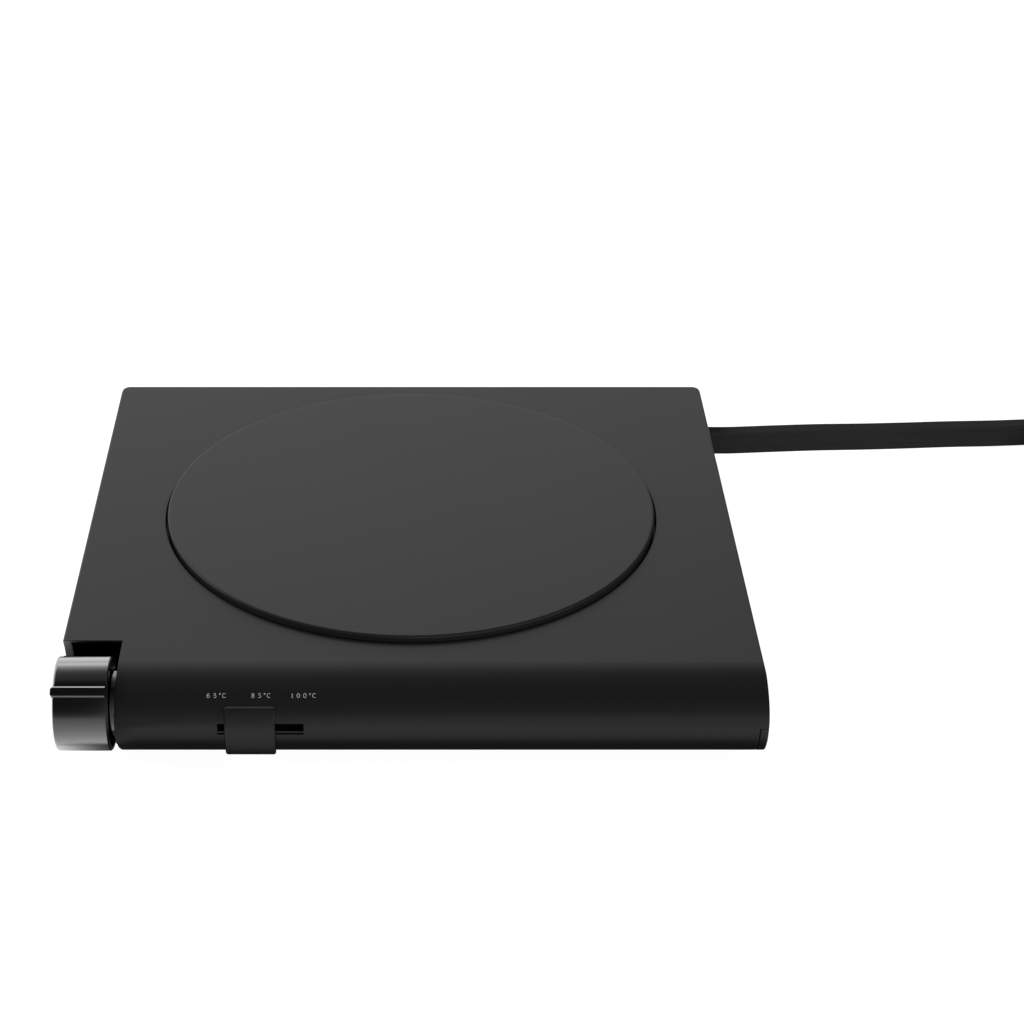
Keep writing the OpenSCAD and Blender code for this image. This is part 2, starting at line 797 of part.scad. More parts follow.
module thermal_fuse() {
    color(steel) {
        bar_x(-4.5, 4.5, plate_y - 2.6, plate_low_z - fuse_r, fuse_r);
        bar_x(4.5 - eps, 6.5, plate_y - 2.6, plate_low_z - fuse_r, 0.4);
        bar_x(-6.5, -4.5 + eps, plate_y - 2.6, plate_low_z - fuse_r, 0.4);
    }
}

// Sprung steel bridge on the shield that presses sensor and fuse to the plate
module sensor_clip() {
    low = pad_low_z;
    color(steel) {
        box([-clip_w / 2, plate_y - 5.8, low], [clip_w / 2, plate_y + 5.8, low + 0.5]);
        box([-clip_w / 2, plate_y + 1.8, low + 0.5 - eps],
            [clip_w / 2, plate_y + 3.8, plate_low_z - 2 * sensor_r]);
        box([-clip_w / 2, plate_y - 3.6, low + 0.5 - eps],
            [clip_w / 2, plate_y - 1.6, plate_low_z - 2 * fuse_r]);
    }
}

module sensor_leads() {
    color(lead_white) for (side = [-1, 1])
        sweep(smooth([[side * 3.1, plate_y + 2.8, plate_low_z - sensor_r],
            [side * 4, plate_y + 1.7, plate_low_z - sensor_r - 0.4],
            [side * 3.2, plate_y + 0.4, pad_low_z + 1.2],
            [side * 2.7, plate_y - 0.2, pad_low_z - 0.6],
            [side * 1.6, plate_y - 2, shield_low_z - 2],
            [side, plate_y - 8, shield_low_z - 3],
            [side, plate_y - 30, shield_low_z - 3.2],
            [(relay_x - 16.8) * 0.72 + side, board_y1 + 6, board_z + 1.8],
            [relay_x - 16.8 + side, board_y1 - 1.8, board_z + 1.4],
            [relay_x - 16.8 + side, board_y1 - 2.2, board_z + 0.1]], 3),
            ring_section(0.45, 6));
}

// ---------------------------------------------------------------- electronics

module control_board() {
    color(board_green) difference() {
        along_z(board_low_z, board_z)
            polygon(rounded([board_x0, board_y0], [board_x1, board_y1], 1));
        for (x = board_screw_x)
            bar_z(x, board_screw_y, board_low_z - 1, board_z + 1, small_screw[0] + 0.15);
    }
}

module board_screws() {
    color(steel) for (x = board_screw_x)
        screw_down(small_screw, x, board_screw_y, board_z, board_t + 2);
}

// A component with eased upright edges that stands on the board
module board_block(x, y, w, d, h, ease = 0.4) {
    along_z(board_z, board_z + h)
        polygon(rounded([x - w / 2, y - d / 2], [x + w / 2, y + d / 2], ease));
}

module relay() {
    color([0.2, 0.25, 0.55]) board_block(relay_x, front_y + 11.8, 17, 8, 7.4);
}

module film_capacitor() {
    color([0.75, 0.2, 0.15]) board_block(capacitor_x, front_y + 12, 12, 5.4, 6.6);
}

module terminal_block() {
    y = front_y + 12.2;
    color([0.15, 0.4, 0.25]) difference() {
        board_block(terminal_x, y, 10, 7.6, 7.4);
        for (side = [-1, 1]) {
            bar_z(terminal_x + side * 2.5, y, board_z + 4, board_z + 8, 1.5);
            box([terminal_x + side * 2.5 - 1.2, y + 1, board_z + 1],
                [terminal_x + side * 2.5 + 1.2, y + 5, board_z + 3.4]);
        }
    }
}

slide_switch_y = front_y + 7.7;

module slide_switch() {
    half = slot_l / 2 + 1;
    color([0.3, 0.3, 0.32]) difference() {
        box([slot_x - half, slide_switch_y, board_z],
            [slot_x + half, slide_switch_y + 5, board_z + 4.4]);
        box([slot_x - half + 0.7, slide_switch_y - 1, fork_z - 0.1],
            [slot_x + half - 0.7, slide_switch_y + 2.4, fork_z + fork_h + 0.1]);
    }
}

module rotary_switch() {
    color([0.25, 0.25, 0.27]) difference() {
        union() {
            bar_x(pocket_inner_x, switch_back_x, knob_y, knob_z, switch_r);
            bar_x(bushing_out_x, pocket_inner_x + eps, knob_y, knob_z, bushing_r);
            for (side = [-1, 1])
                box([switch_back_x - eps, knob_y + side * 2.2 - 0.8, knob_z - 0.3],
                    [switch_back_x + 2.2, knob_y + side * 2.2 + 0.8, knob_z + 0.3]);
        }
        bar_x(bushing_out_x - 1, rotor_x, knob_y, knob_z, shaft_d / 2 + run_fit);
        bar_x(rotor_x - 0.1, rotor_x + rotor_t + 0.1, knob_y, knob_z, rotor_r + 0.1);
    }
}

module switch_leads() {
    color(lead_white) for (side = [-1, 1])
        sweep(smooth([[switch_back_x + 2.3, knob_y + side * 2.2, knob_z],
            [switch_back_x + 3.4, knob_y + side * 2.1, knob_z - 0.4],
            [board_x0 + 0.9, front_y + 10 + side * 1.5, board_z + 2.4],
            [board_x0 + 1.4, front_y + 10.4 + side * 1.3, board_z + 1],
            [board_x0 + 1.5, front_y + 10.4 + side * 1.3, board_z + 0.1]], 3),
            ring_section(0.5, 6));
}

module heater_leads() {
    ends = terminals();
    board_ends = [relay_x - 26.6, relay_x - 11.5];
    color(lead_white) for (i = [0, 1])
        sweep(smooth([[ends[i][0], ends[i][1], heater_low_z],
            [ends[i][0], ends[i][1], pad_low_z],
            [ends[i][0], ends[i][1], shield_low_z - 1],
            [ends[i][0], ends[i][1] - 1.2, shield_low_z - 2.6],
            [board_ends[i], board_y1 + 1.5, board_z + 1.9],
            [board_ends[i], board_y1 - 1, board_z + 1.7],
            [board_ends[i], board_y1 - 1.4, board_z + 0.2]], 3), ring_section(wire_r));
}

// ---------------------------------------------------------- lead and its exit

// Grommet in the wall with a tapered strain relief behind it
module cord_gland() {
    flange_x = side_x - 4.7;
    color(rubber_black) difference() {
        union() {
            box([flange_x, cord_y - gland_w / 2, cord_z - gland_h / 2],
                [side_x, cord_y + gland_w / 2, cord_z + gland_h / 2]);
            box([flange_x, cord_y - gland_w / 2 - 1.4, cord_z - gland_h / 2 - 0.5],
                [flange_x + 1.5, cord_y + gland_w / 2 + 1.4, cord_z + gland_h / 2 + 0.5]);
            hull() {
                box([flange_x - eps, cord_y - 3, cord_z - 4.2],
                    [flange_x + eps, cord_y + 3, cord_z + 4.2]);
                box([clamp_x + clamp_l + 0.4, cord_y - 2.1, cord_z - 3.3],
                    [clamp_x + clamp_l + 0.5, cord_y + 2.1, cord_z + 3.3]);
            }
        }
        along_x(clamp_x, side_x + 1)
            translate([cord_y, cord_z]) polygon(cord_section());
    }
}

module cord_tail() {
    color(rubber_black) along_x(tail_end_x, side_x)
        translate([cord_y, cord_z]) polygon(cord_section());
}

module cord_clamp() {
    z = cord_z + cord_h / 2;
    color(steel) difference() {
        along_z(z, z + clamp_bar_t) polygon(rounded([clamp_x, cord_y - clamp_reach],
            [clamp_x + clamp_l, cord_y + clamp_reach], 1));
        for (side = [-1, 1])
            bar_z(clamp_x + clamp_l / 2, cord_y + side * 4.4, z - 1, z + 3,
                small_screw[0] + 0.15);
    }
}

module clamp_screws() {
    z = cord_z + cord_h / 2 + clamp_bar_t;
    color(steel) for (side = [-1, 1])
        screw_down(small_screw, clamp_x + clamp_l / 2, cord_y + side * 4.4, z, 6);
}

// The two insulated cores, from the lead's end along the right wall to the
// terminal block
module mains_leads() {
    lane_x = side_x - 15;
    color([0.35, 0.2, 0.1]) for (side = [-1, 1])
        sweep(smooth([[tail_end_x, cord_y, cord_z + side * core_offset],
            [tail_end_x - 0.5, cord_y, cord_z + side * core_offset],
            [tail_end_x - 2, cord_y, cord_z + side * core_offset],
            [tail_end_x - 4, cord_y - 3, cord_z - 2 + side * core_offset],
            [tail_end_x - 2.5, cord_y - 8, floor_z + 3.4 + side * 1.1],
            [tail_end_x + 4, cord_y - 16, floor_z + 2.4 + side * 1.1],
            [lane_x, cord_y - 28, floor_z + 2.4 + side * 1.1],
            [lane_x, plate_y, floor_z + 2.4 + side * 1.1],
            [lane_x, front_y + 40, floor_z + 2.4 + side * 1.1],
            [terminal_x + side * 2.5, front_y + 24, board_z + 2.2],
            [terminal_x + side * 2.5, front_y + 18, board_z + 2.2],
            [terminal_x + side * 2.5, front_y + 14, board_z + 2.2]], 3),
            ring_section(wire_r));
}

module power_cord() {
    start = [side_x, cord_y, 0];
    color(rubber_black) sweep([for (p = smooth(cord_route, 2)) start + p],
        cord_section());
}

module cord_coil() {
    color(rubber_black) translate([coil_x, coil_y, 0]) rotate_extrude()
        polygon([[coil_in_r, coil_low_z], [coil_out_r, coil_low_z],
            [coil_out_r, coil_high_z], [coil_in_r, coil_high_z]]);
}

// Two flat ties round the coil's bundle
module cord_ties() {
    sag = tie_w * tie_w / 8 / coil_in_r + eps;
    color(rubber_black) for (a = [20, 200]) translate([coil_x, coil_y, 0]) rotate(a)
        difference() {
            box([coil_in_r - sag - tie_t, -tie_w / 2, coil_low_z - tie_t],
                [coil_out_r + tie_t, tie_w / 2, coil_high_z + tie_t]);
            box([coil_in_r - sag, -tie_w, coil_low_z], [coil_out_r, tie_w, coil_high_z]);
        }
}

module plug_lead() {
    start = [coil_x, coil_y, 0];
    color(rubber_black) sweep([for (p = smooth(plug_route, 2)) start + p],
        cord_section());
}

// Two-pin plug, lying flat, pins towards the front
module plug_body() {
    z = plug_h / 2;
    neck = 5;
    color(rubber_black) {
        intersection() {
            along_z(0, plug_h) polygon([[plug_x - neck, plug_back_y],
                [plug_x - plug_w / 2 + 1.5, plug_back_y - 17],
                [plug_x - plug_w / 2, plug_back_y - 22],
                [plug_x - plug_w / 2, plug_face_y + 1],
                [plug_x - plug_w / 2 + 1, plug_face_y],
                [plug_x + plug_w / 2 - 1, plug_face_y],
                [plug_x + plug_w / 2, plug_face_y + 1],
                [plug_x + plug_w / 2, plug_back_y - 22],
                [plug_x + plug_w / 2 - 1.5, plug_back_y - 17],
                [plug_x + neck, plug_back_y]]);
            along_y(plug_face_y - 1, plug_back_y + 1)
                polygon(rounded([plug_x - plug_w / 2, 0], [plug_x + plug_w / 2, plug_h], 3));
        }
        hull() {
            box([plug_x - neck, plug_back_y - 1, z - 5.5],
                [plug_x + neck, plug_back_y, z + 5.5]);
            box([plug_x - cord_t / 2 - 1, plug_boot_y - 1, z - cord_h / 2 - 1],
                [plug_x + cord_t / 2 + 1, plug_boot_y, z + cord_h / 2 + 1]);
        }
        for (side = [-1, 1])
            bar_y(plug_x + side * pin_gap / 2, plug_face_y - pin_sleeve_l,
                plug_face_y + 1, z, pin_sleeve_r);
    }
}

module plug_pins() {
    tip_y = plug_face_y - pin_sleeve_l;
    color(brass) for (side = [-1, 1]) {
        bar_y(plug_x + side * pin_gap / 2, tip_y - pin_l, tip_y, plug_h / 2, pin_r);
        translate([plug_x + side * pin_gap / 2, tip_y - pin_l, plug_h / 2])
            rotate([90, 0, 0]) cylinder(r1 = pin_r, r2 = pin_r - 0.7, h = 0.9);
    }
}

// ----------------------------------------------------------------------- knob

// Turns a form about the knob's axis from the front to the pointer's place
module at_pointer() {
    translate([0, knob_y, knob_z]) rotate([-pointer_angle, 0, 0])
        translate([0, -knob_y, -knob_z]) children();
}

// Groove of the pointer along the sleeve and across its outer end
module pointer_bar(w, depth, proud) {
    at_pointer() {
        box([knob_out_x - proud, knob_y - knob_r - proud, knob_z - w / 2],
            [knob_in_x - 0.3, knob_y - knob_r + depth, knob_z + w / 2]);
        box([knob_out_x - proud, knob_y - knob_r - proud, knob_z - w / 2],
            [knob_out_x + depth, knob_y - 2, knob_z + w / 2]);
    }
}

// Cutter of the groove's lips: it leaves a 45 degree chamfer on each side
module pointer_lips(w, lip) {
    reach = lip + 1;
    at_pointer() {
        along_x(knob_out_x - 1, knob_in_x - 0.3)
            polygon([[knob_y - knob_r + lip, knob_z - w / 2],
                [knob_y - knob_r + lip, knob_z + w / 2],
                [knob_y - knob_r - 1, knob_z + w / 2 + reach],
                [knob_y - knob_r - 1, knob_z - w / 2 - reach]]);
        along_y(knob_y - knob_r - 1, knob_y - 2)
            polygon([[knob_out_x + lip, knob_z - w / 2],
                [knob_out_x + lip, knob_z + w / 2],
                [knob_out_x - 1, knob_z + w / 2 + reach],
                [knob_out_x - 1, knob_z - w / 2 - reach]]);
    }
}

module knob_sleeve() {
    bevel = 0.6;
    small = 0.25;
    color(dark_chrome) difference() {
        translate([knob_out_x, knob_y, knob_z]) rotate([0, 90, 0])
            rotate_extrude($fn = 96) polygon([[0, 0], [knob_r - bevel, 0],
                [knob_r - 0.18, 0.18], [knob_r, bevel], [knob_r, knob_l - small],
                [knob_r - small, knob_l], [knob_r - sleeve_t, knob_l],
                [knob_r - sleeve_t, sleeve_t], [0, sleeve_t]]);
        difference() {
            pointer_bar(pointer_w, sleeve_t + 1, 1);
            bar_x(knob_out_x + sleeve_t, knob_in_x, knob_y, knob_z, knob_r - sleeve_t);
        }
        pointer_lips(pointer_w, pointer_lip);
    }
}

module knob_core() {
    color(rubber_black) difference() {
        bar_x(knob_out_x + sleeve_t, knob_in_x - knob_recess, knob_y, knob_z,
            knob_r - sleeve_t - 0.02);
        intersection() {
            bar_x(shaft_out_x - 0.2, knob_in_x, knob_y, knob_z, shaft_d / 2 + run_fit);
            box([shaft_out_x - 1, knob_y - shaft_d, knob_z - shaft_d],
                [knob_in_x + 1, knob_y + shaft_d,
                knob_z + shaft_d / 2 - shaft_flat + run_fit]);
        }
    }
}

// Black bar let into the sleeve; it stands a little proud of it
module knob_pointer() {
    color(rubber_black) intersection() {
        difference() {
            pointer_bar(pointer_w, sleeve_t + 1, pointer_proud);
            bar_x(knob_out_x + sleeve_t, knob_in_x, knob_y, knob_z, knob_r - sleeve_t);
        }
        bar_x(knob_out_x - 1, knob_in_x, knob_y, knob_z, knob_r + pointer_proud);
    }
}

module switch_shaft() {
    color(steel) difference() {
        bar_x(shaft_out_x, rotor_x, knob_y, knob_z, shaft_d / 2);
        box([shaft_out_x - 1, knob_y - shaft_d, knob_z + shaft_d / 2 - shaft_flat],
            [knob_in_x, knob_y + shaft_d, knob_z + shaft_d]);
    }
}

// Contact disc on the shaft's inner end, inside the switch
module switch_rotor() {
    color(brass) bar_x(rotor_x, rotor_x + rotor_t, knob_y, knob_z, rotor_r);
}

// Polished nut on the switch's bushing, seen between knob and wall
module knob_collar() {
    color(dark_chrome) difference() {
        bar_x(collar_x, pocket_x, knob_y, knob_z, collar_d / 2);
        bar_x(collar_x - 1, pocket_x + 1, knob_y, knob_z, bushing_r + hole_fit);
    }
}

// --------------------------------------------------------------------- slider

// Curved tab that follows the nose, with the neck that passes through the slot
module slider_cap() {
    angles = nose_angles(cap_top_angle, cap_end_angle);
    inner = [for (a = angles) nose_point(a, 0.15)];
    outer = [for (a = angles) nose_point(a, 0.15 + cap_t)];
    low = outer[len(outer) - 1][1] - 0.1;
    high = outer[0][1] + 0.3;
    color(matt_black) {
        intersection() {
            along_x(slider_x - cap_w / 2, slider_x + cap_w / 2) polygon(concat(inner,
                [for (i = [len(outer) - 1:-1:0]) outer[i]]));
            along_y(front_y - 3, front_y + nose_low_run)
                polygon(rounded([slider_x - cap_w / 2, low],
                    [slider_x + cap_w / 2, high], 0.5));
        }
        box([slider_x - neck_w / 2, front_y - 0.5, neck_low_z],
            [slider_x + neck_w / 2, carriage_back_y, neck_high_z]);
    }
}

module slider_carriage() {
    color(rubber_black) difference() {
        union() {
            box([slider_x - carriage_w / 2, carriage_y, slot_z - carriage_low],
                [slider_x + carriage_w / 2, carriage_back_y, slot_z + carriage_high]);
            for (side = [-1, 1])
                box([slider_x + side * (lever_w / 2 + 0.65) - 0.55,
                    carriage_back_y - eps, fork_z],
                    [slider_x + side * (lever_w / 2 + 0.65) + 0.55,
                    carriage_back_y + 2.4, fork_z + fork_h]);
        }
        box([slider_x - neck_w / 2 - 0.03, carriage_y - 1, neck_low_z - 0.03],
            [slider_x + neck_w / 2 + 0.03, carriage_back_y + 1, neck_high_z + 0.03]);
    }
}

// Small screw from behind that holds the cap's neck in the carriage
module slider_screw() {
    color(steel) bar_y(slider_x, carriage_back_y, carriage_back_y + 0.7, slot_z, 1.4);
}

module slide_lever() {
    color([0.8, 0.8, 0.78])
        box([slider_x - lever_w / 2, carriage_back_y + 0.3, fork_z + 0.1],
            [slider_x + lever_w / 2, slide_switch_y + 2.2, fork_z + fork_h - 0.1]);
}

top_shell();
bottom_cover();
cover_screws();
rubber_feet();
heating_plate();
plate_seal();
plate_clamps();
plate_screws();
heater_element();
insulation_pad();
heat_shield();
shield_screws();
temperature_sensor();
thermal_fuse();
sensor_clip();
sensor_leads();
control_board();
board_screws();
relay();
film_capacitor();
terminal_block();
slide_switch();
rotary_switch();
knob_collar();
cord_gland();
cord_tail();
cord_clamp();
clamp_screws();
mains_leads();
heater_leads();
switch_leads();
power_cord();
cord_coil();
cord_ties();
plug_lead();
plug_body();
plug_pins();
knob_sleeve();
knob_core();
knob_pointer();
switch_shaft();
switch_rotor();
slider_cap();
slider_carriage();
slider_screw();
slide_lever();
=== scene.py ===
"""Visual model of an electric mug warmer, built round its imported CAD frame.

Lengths are metres in the row frame: the base stands on z = 0 with its middle
over the origin, the rounded front edge towards -Y and the knob at -X.
"""

import json
import logging
import math
from dataclasses import dataclass, replace
from enum import Enum
from itertools import product
from typing import Any, Callable, Iterable, Sequence

import bmesh
import bpy
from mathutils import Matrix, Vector


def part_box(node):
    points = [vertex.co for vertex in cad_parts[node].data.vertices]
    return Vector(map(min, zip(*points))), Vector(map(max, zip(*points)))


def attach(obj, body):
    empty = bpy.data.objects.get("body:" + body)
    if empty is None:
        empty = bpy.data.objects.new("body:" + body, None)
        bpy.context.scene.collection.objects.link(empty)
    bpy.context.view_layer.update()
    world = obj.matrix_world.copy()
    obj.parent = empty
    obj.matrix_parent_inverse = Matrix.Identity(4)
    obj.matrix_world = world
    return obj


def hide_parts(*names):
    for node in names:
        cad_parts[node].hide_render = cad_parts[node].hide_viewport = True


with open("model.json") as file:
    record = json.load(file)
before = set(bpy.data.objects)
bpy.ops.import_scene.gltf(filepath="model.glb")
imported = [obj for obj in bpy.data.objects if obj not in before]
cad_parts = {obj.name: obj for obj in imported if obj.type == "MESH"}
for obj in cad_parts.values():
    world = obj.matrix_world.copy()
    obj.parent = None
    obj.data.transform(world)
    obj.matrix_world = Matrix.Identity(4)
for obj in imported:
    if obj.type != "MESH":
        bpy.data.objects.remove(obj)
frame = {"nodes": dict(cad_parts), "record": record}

LOG = logging.getLogger("mug_warmer")
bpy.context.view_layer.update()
MM = 0.001
WELD = 0.002 * MM  # corners nearer than this become one
SHARP_EDGE = math.radians(32.0)  # edges over this angle are eased
FLAT = math.radians(0.25)  # faces within this angle become one
STEEP = 1e5  # slope of a mask's edge, per metre
Pair = tuple[float, float]
Point = tuple[float, float, float]
Colour = tuple[float, float, float]
Piece = bpy.types.Object


# ------------------------------------------------------------------ node trees


def grey(level: float) -> Colour:
    """A colour without a hue."""
    return (level, level, level)


class Value:
    """A socket that takes part in Python arithmetic and adds its Math nodes."""

    def __init__(self, graph: "Graph", socket: bpy.types.NodeSocket) -> None:
        """Wraps an output socket of a graph that carries one number."""
        self.graph = graph
        self.socket = socket

    def _math(self, operation: str, *terms: Any) -> "Value":
        """Adds one Math node.

        Args:
            operation: The node's operation.
            *terms: Its inputs, values or numbers, in order.

        Returns:
            The node's result.
        """
        node = self.graph.node("ShaderNodeMath", {"operation": operation},
                               dict(enumerate(terms)))
        return Value(self.graph, node.outputs[0])

    def __add__(self, other: Any) -> "Value":
        """Sum."""
        return self._math("ADD", self, other)

    __radd__ = __add__

    def __sub__(self, other: Any) -> "Value":
        """Difference."""
        return self._math("SUBTRACT", self, other)

    def __rsub__(self, other: Any) -> "Value":
        """Difference from a number."""
        return self._math("SUBTRACT", other, self)

    def __mul__(self, other: Any) -> "Value":
        """Product."""
        return self._math("MULTIPLY", self, other)

    __rmul__ = __mul__

    def __truediv__(self, other: Any) -> "Value":
        """Quotient."""
        return self._math("DIVIDE", self, other)

    def __pow__(self, other: Any) -> "Value":
        """Power."""
        return self._math("POWER", self, other)

    def __abs__(self) -> "Value":
        """Size without its sign."""
        return self._math("ABSOLUTE", self)

    def clamp(self, low: float = 0.0, high: float = 1.0) -> "Value":
        """Kept between two limits."""
        return self._math("MINIMUM", self._math("MAXIMUM", self, low), high)

    def above(self, limit: float) -> "Value":
        """1 where the value is over the limit, else 0."""
        return self._math("GREATER_THAN", self, limit)


class Graph:
    """Adds nodes of any kind to a node tree through one method."""

    def __init__(self, tree: bpy.types.NodeTree) -> None:
        """Starts on a shader, world or geometry tree, whose nodes are removed."""
        self.tree = tree
        self.tree.nodes.clear()

    def node(self, kind: str, settings: dict[str, Any] | None = None,
             sockets: dict[Any, Any] | None = None) -> bpy.types.Node:
        """Adds one node.

        Args:
            kind: The node's type.
            settings: Its properties, set first. "stops" sets a ramp's stops.
            sockets: Input name or number to a constant, a Value, a socket or a
                node, which stands for its first output.

        Returns:
            The new node.
        """
        node = self.tree.nodes.new(kind)
        for name, setting in (settings or {}).items():
            if name == "stops":
                self._set_stops(node.color_ramp, setting)
            else:
                setattr(node, name, setting)
        for name, source in (sockets or {}).items():
            if isinstance(source, Value):
                source = source.socket
            elif isinstance(source, bpy.types.Node):
                source = source.outputs[0]
            if isinstance(source, bpy.types.NodeSocket):
                self.tree.links.new(source, node.inputs[name])
            else:
                node.inputs[name].default_value = source
        return node

    def value(self, node: bpy.types.Node, output: Any = 0) -> Value:
        """One output of a node as a Value."""
        return Value(self, node.outputs[output])

    def split(self, vector: bpy.types.NodeSocket) -> list[Value]:
        """The three parts of a vector."""
        parts = self.node("ShaderNodeSeparateXYZ", {}, {0: vector})
        return [self.value(parts, i) for i in range(3)]

    def ramp(self, at: Value, *stops: Pair) -> Value:
        """Level at a place on a grey ramp, given the place and level of its stops."""
        return self.value(self.node("ShaderNodeValToRGB", {"stops": stops}, {0: at}))

    @staticmethod
    def _set_stops(ramp: bpy.types.ColorRamp,
                   stops: Sequence[Pair]) -> None:
        """Gives a ramp, which has two stops at first, all its stops.

        Args:
            ramp: The ramp.
            stops: Place and grey level of each stop, in order.
        """
        while len(ramp.elements) < len(stops):
            ramp.elements.new(1.0)
        for element, (place, level) in zip(ramp.elements, stops):
            element.position = place
            element.color = (*grey(level), 1.0)


class GeometryTree(Graph):
    """A Geometry Nodes tree whose sizes are named inputs."""

    def __init__(self, name: str, inputs: Sequence[tuple[str, str]]) -> None:
        """Makes the tree and its interface.

        Args:
            name: Name of the tree.
            inputs: Name and kind of each input between geometry and finish.
        """
        tree = bpy.data.node_groups.new(name, "GeometryNodeTree")
        super().__init__(tree)
        face = tree.interface
        inputs = [*inputs, ("Finish", "Material")]
        face.new_socket("Geometry", in_out="INPUT", socket_type="NodeSocketGeometry")
        for label, kind in inputs:
            face.new_socket(label, in_out="INPUT", socket_type=f"NodeSocket{kind}")
        face.new_socket("Geometry", in_out="OUTPUT", socket_type="NodeSocketGeometry")
        self.inputs = self.node("NodeGroupInput").outputs

    def finish(self, made: bpy.types.Node) -> None:
        """Ends the tree: real copies, closed seams and the input's material.

        Args:
            made: The node that makes the tree's geometry.
        """
        real = self.node("GeometryNodeRealizeInstances", {}, {0: made})
        closed = self.node("GeometryNodeMergeByDistance", {}, {
            "Geometry": real, "Distance": 0.001 * MM})
        dressed = self.node("GeometryNodeSetMaterial", {}, {
            "Geometry": closed, "Material": self.inputs["Finish"]})
        self.node("NodeGroupOutput", {}, {0: dressed})

    def bake(self, name: str, points: Sequence[Point], values: dict[str, Any],
             edges: Sequence[tuple[int, int]] = ()) -> Piece:
        """Runs the tree on loose points and keeps the result as a plain mesh.

        Args:
            name: Name of the new piece.
            points: Where the tree puts its copies, or what its paths follow.
            values: Input name to its value.
            edges: Point numbers of each step of a path.

        Returns:
            The finished piece, without a modifier.
        """
        piece = new_piece(name, points, [], edges)
        modifier = piece.modifiers.new(name, "NODES")
        modifier.node_group = self.tree
        for item in self.tree.interface.items_tree:
            if item.item_type == "SOCKET" and item.in_out == "INPUT" and item.name in values:
                modifier[item.identifier] = values[item.name]
        baked = flatten(piece)
        tidy_normals(baked)
        return baked


# ------------------------------------------------------------------ mesh tools


def add_object(name: str, data: bpy.types.ID) -> Piece:
    """Links a new object to the scene, at the world origin.

    Args:
        name: Its name.
        data: Its mesh, camera or light.

    Returns:
        The object.
    """
    made = bpy.data.objects.new(name, data)
    bpy.context.scene.collection.objects.link(made)
    return made


def new_piece(name: str, points: Iterable[Point], faces: Iterable[Sequence[int]],
              edges: Iterable[tuple[int, int]] = ()) -> Piece:
    """Makes a mesh object at the world origin.

    Args:
        name: Name of the piece.
        points: Its vertices.
        faces: Vertex numbers of each face.
        edges: Vertex numbers of each loose edge.

    Returns:
        The new object, linked to the scene.
    """
    mesh = bpy.data.meshes.new(name)
    mesh.from_pydata([tuple(p) for p in points], list(edges), [tuple(f) for f in faces])
    return add_object(name, mesh)


def flatten(piece: Piece) -> Piece:
    """Turns an object's modifiers into its plain mesh.

    Args:
        piece: An object with live modifiers.

    Returns:
        The same object, with its evaluated mesh and no modifier.
    """
    graph = bpy.context.evaluated_depsgraph_get()
    mesh = bpy.data.meshes.new_from_object(piece.evaluated_get(graph))
    mesh.name = piece.name
    piece.modifiers.clear()
    piece.data = mesh
    return piece


def smooth(piece: Piece, sharp: float) -> None:
    """Shades a piece smooth but for edges over an angle in degrees."""
    piece.data.shade_smooth()
    piece.data.set_sharp_from_angle(angle=math.radians(sharp))


def tidy_normals(piece: Piece, sharp: float = 35.0) -> None:
    """Points the faces outwards and smooths all but the sharp edges.

    Args:
        piece: A closed mesh.
        sharp: Angle in degrees over which an edge stays sharp.
    """
    work = bmesh.new()
    work.from_mesh(piece.data)
    bmesh.ops.remove_doubles(work, verts=work.verts, dist=WELD)
    bmesh.ops.recalc_face_normals(work, faces=work.faces)
    work.to_mesh(piece.data)
    work.free()
    smooth(piece, sharp)


def weigh_normals(piece: Piece) -> None:
    """Keeps large flat faces flat beside their rounded edges.

    Args:
        piece: A piece with a smooth shading.
    """
    modifier = piece.modifiers.new("weighted", "WEIGHTED_NORMAL")
    modifier.keep_sharp = True
    modifier.weight = 50
    flatten(piece)


@dataclass(frozen=True)
class Ease:
    """One pass of rounding over some sharp edges.

    Attributes:
        width: Width of the rounding in metres.
        chosen: Test of an edge's middle, or None for every sharp edge.
        steps: Facets across the rounding.
    """

    width: float
    chosen: Callable[[Vector], bool] | None = None
    steps: int = 2

    def apply(self, work: bmesh.types.BMesh) -> None:
        """Rounds the chosen sharp edges of a mesh.

        Args:
            work: The mesh.
        """
        edges = [e for e in work.edges
                 if len(e.link_faces) == 2
                 and e.calc_face_angle(0.0) > SHARP_EDGE
                 and (self.chosen is None
                      or self.chosen((e.verts[0].co + e.verts[1].co) / 2))]
        bmesh.ops.bevel(work, geom=edges, offset=self.width, offset_type="OFFSET",
                        segments=self.steps, profile=0.5, affect="EDGES",
                        clamp_overlap=False)


def home(node: str) -> tuple[str, str]:
    """Finds where a CAD node belongs.

    Args:
        node: Name of the node.

    Returns:
        Its material slot and its body.
    """
    record = frame["record"]
    slot = next(part["material_slot"] for part in record["subparts"]
                if part["node"] == node)
    body = next(body for body, nodes in record["behaviour"]["bodies"].items()
                if node in nodes)
    return slot, body


def dress(piece: Piece, material: bpy.types.Material) -> None:
    """Gives a whole piece one material."""
    piece.data.materials.clear()
    piece.data.materials.append(material)


# -------------------------------------------------------------------- finishes


class Grain(Enum):
    """Direction of a finish's fine texture."""

    EVEN = "even"
    ALONG_X = "along x"
    ALONG_Y = "along y"
    TURNED = "turned"
    FIBRES = "fibres"


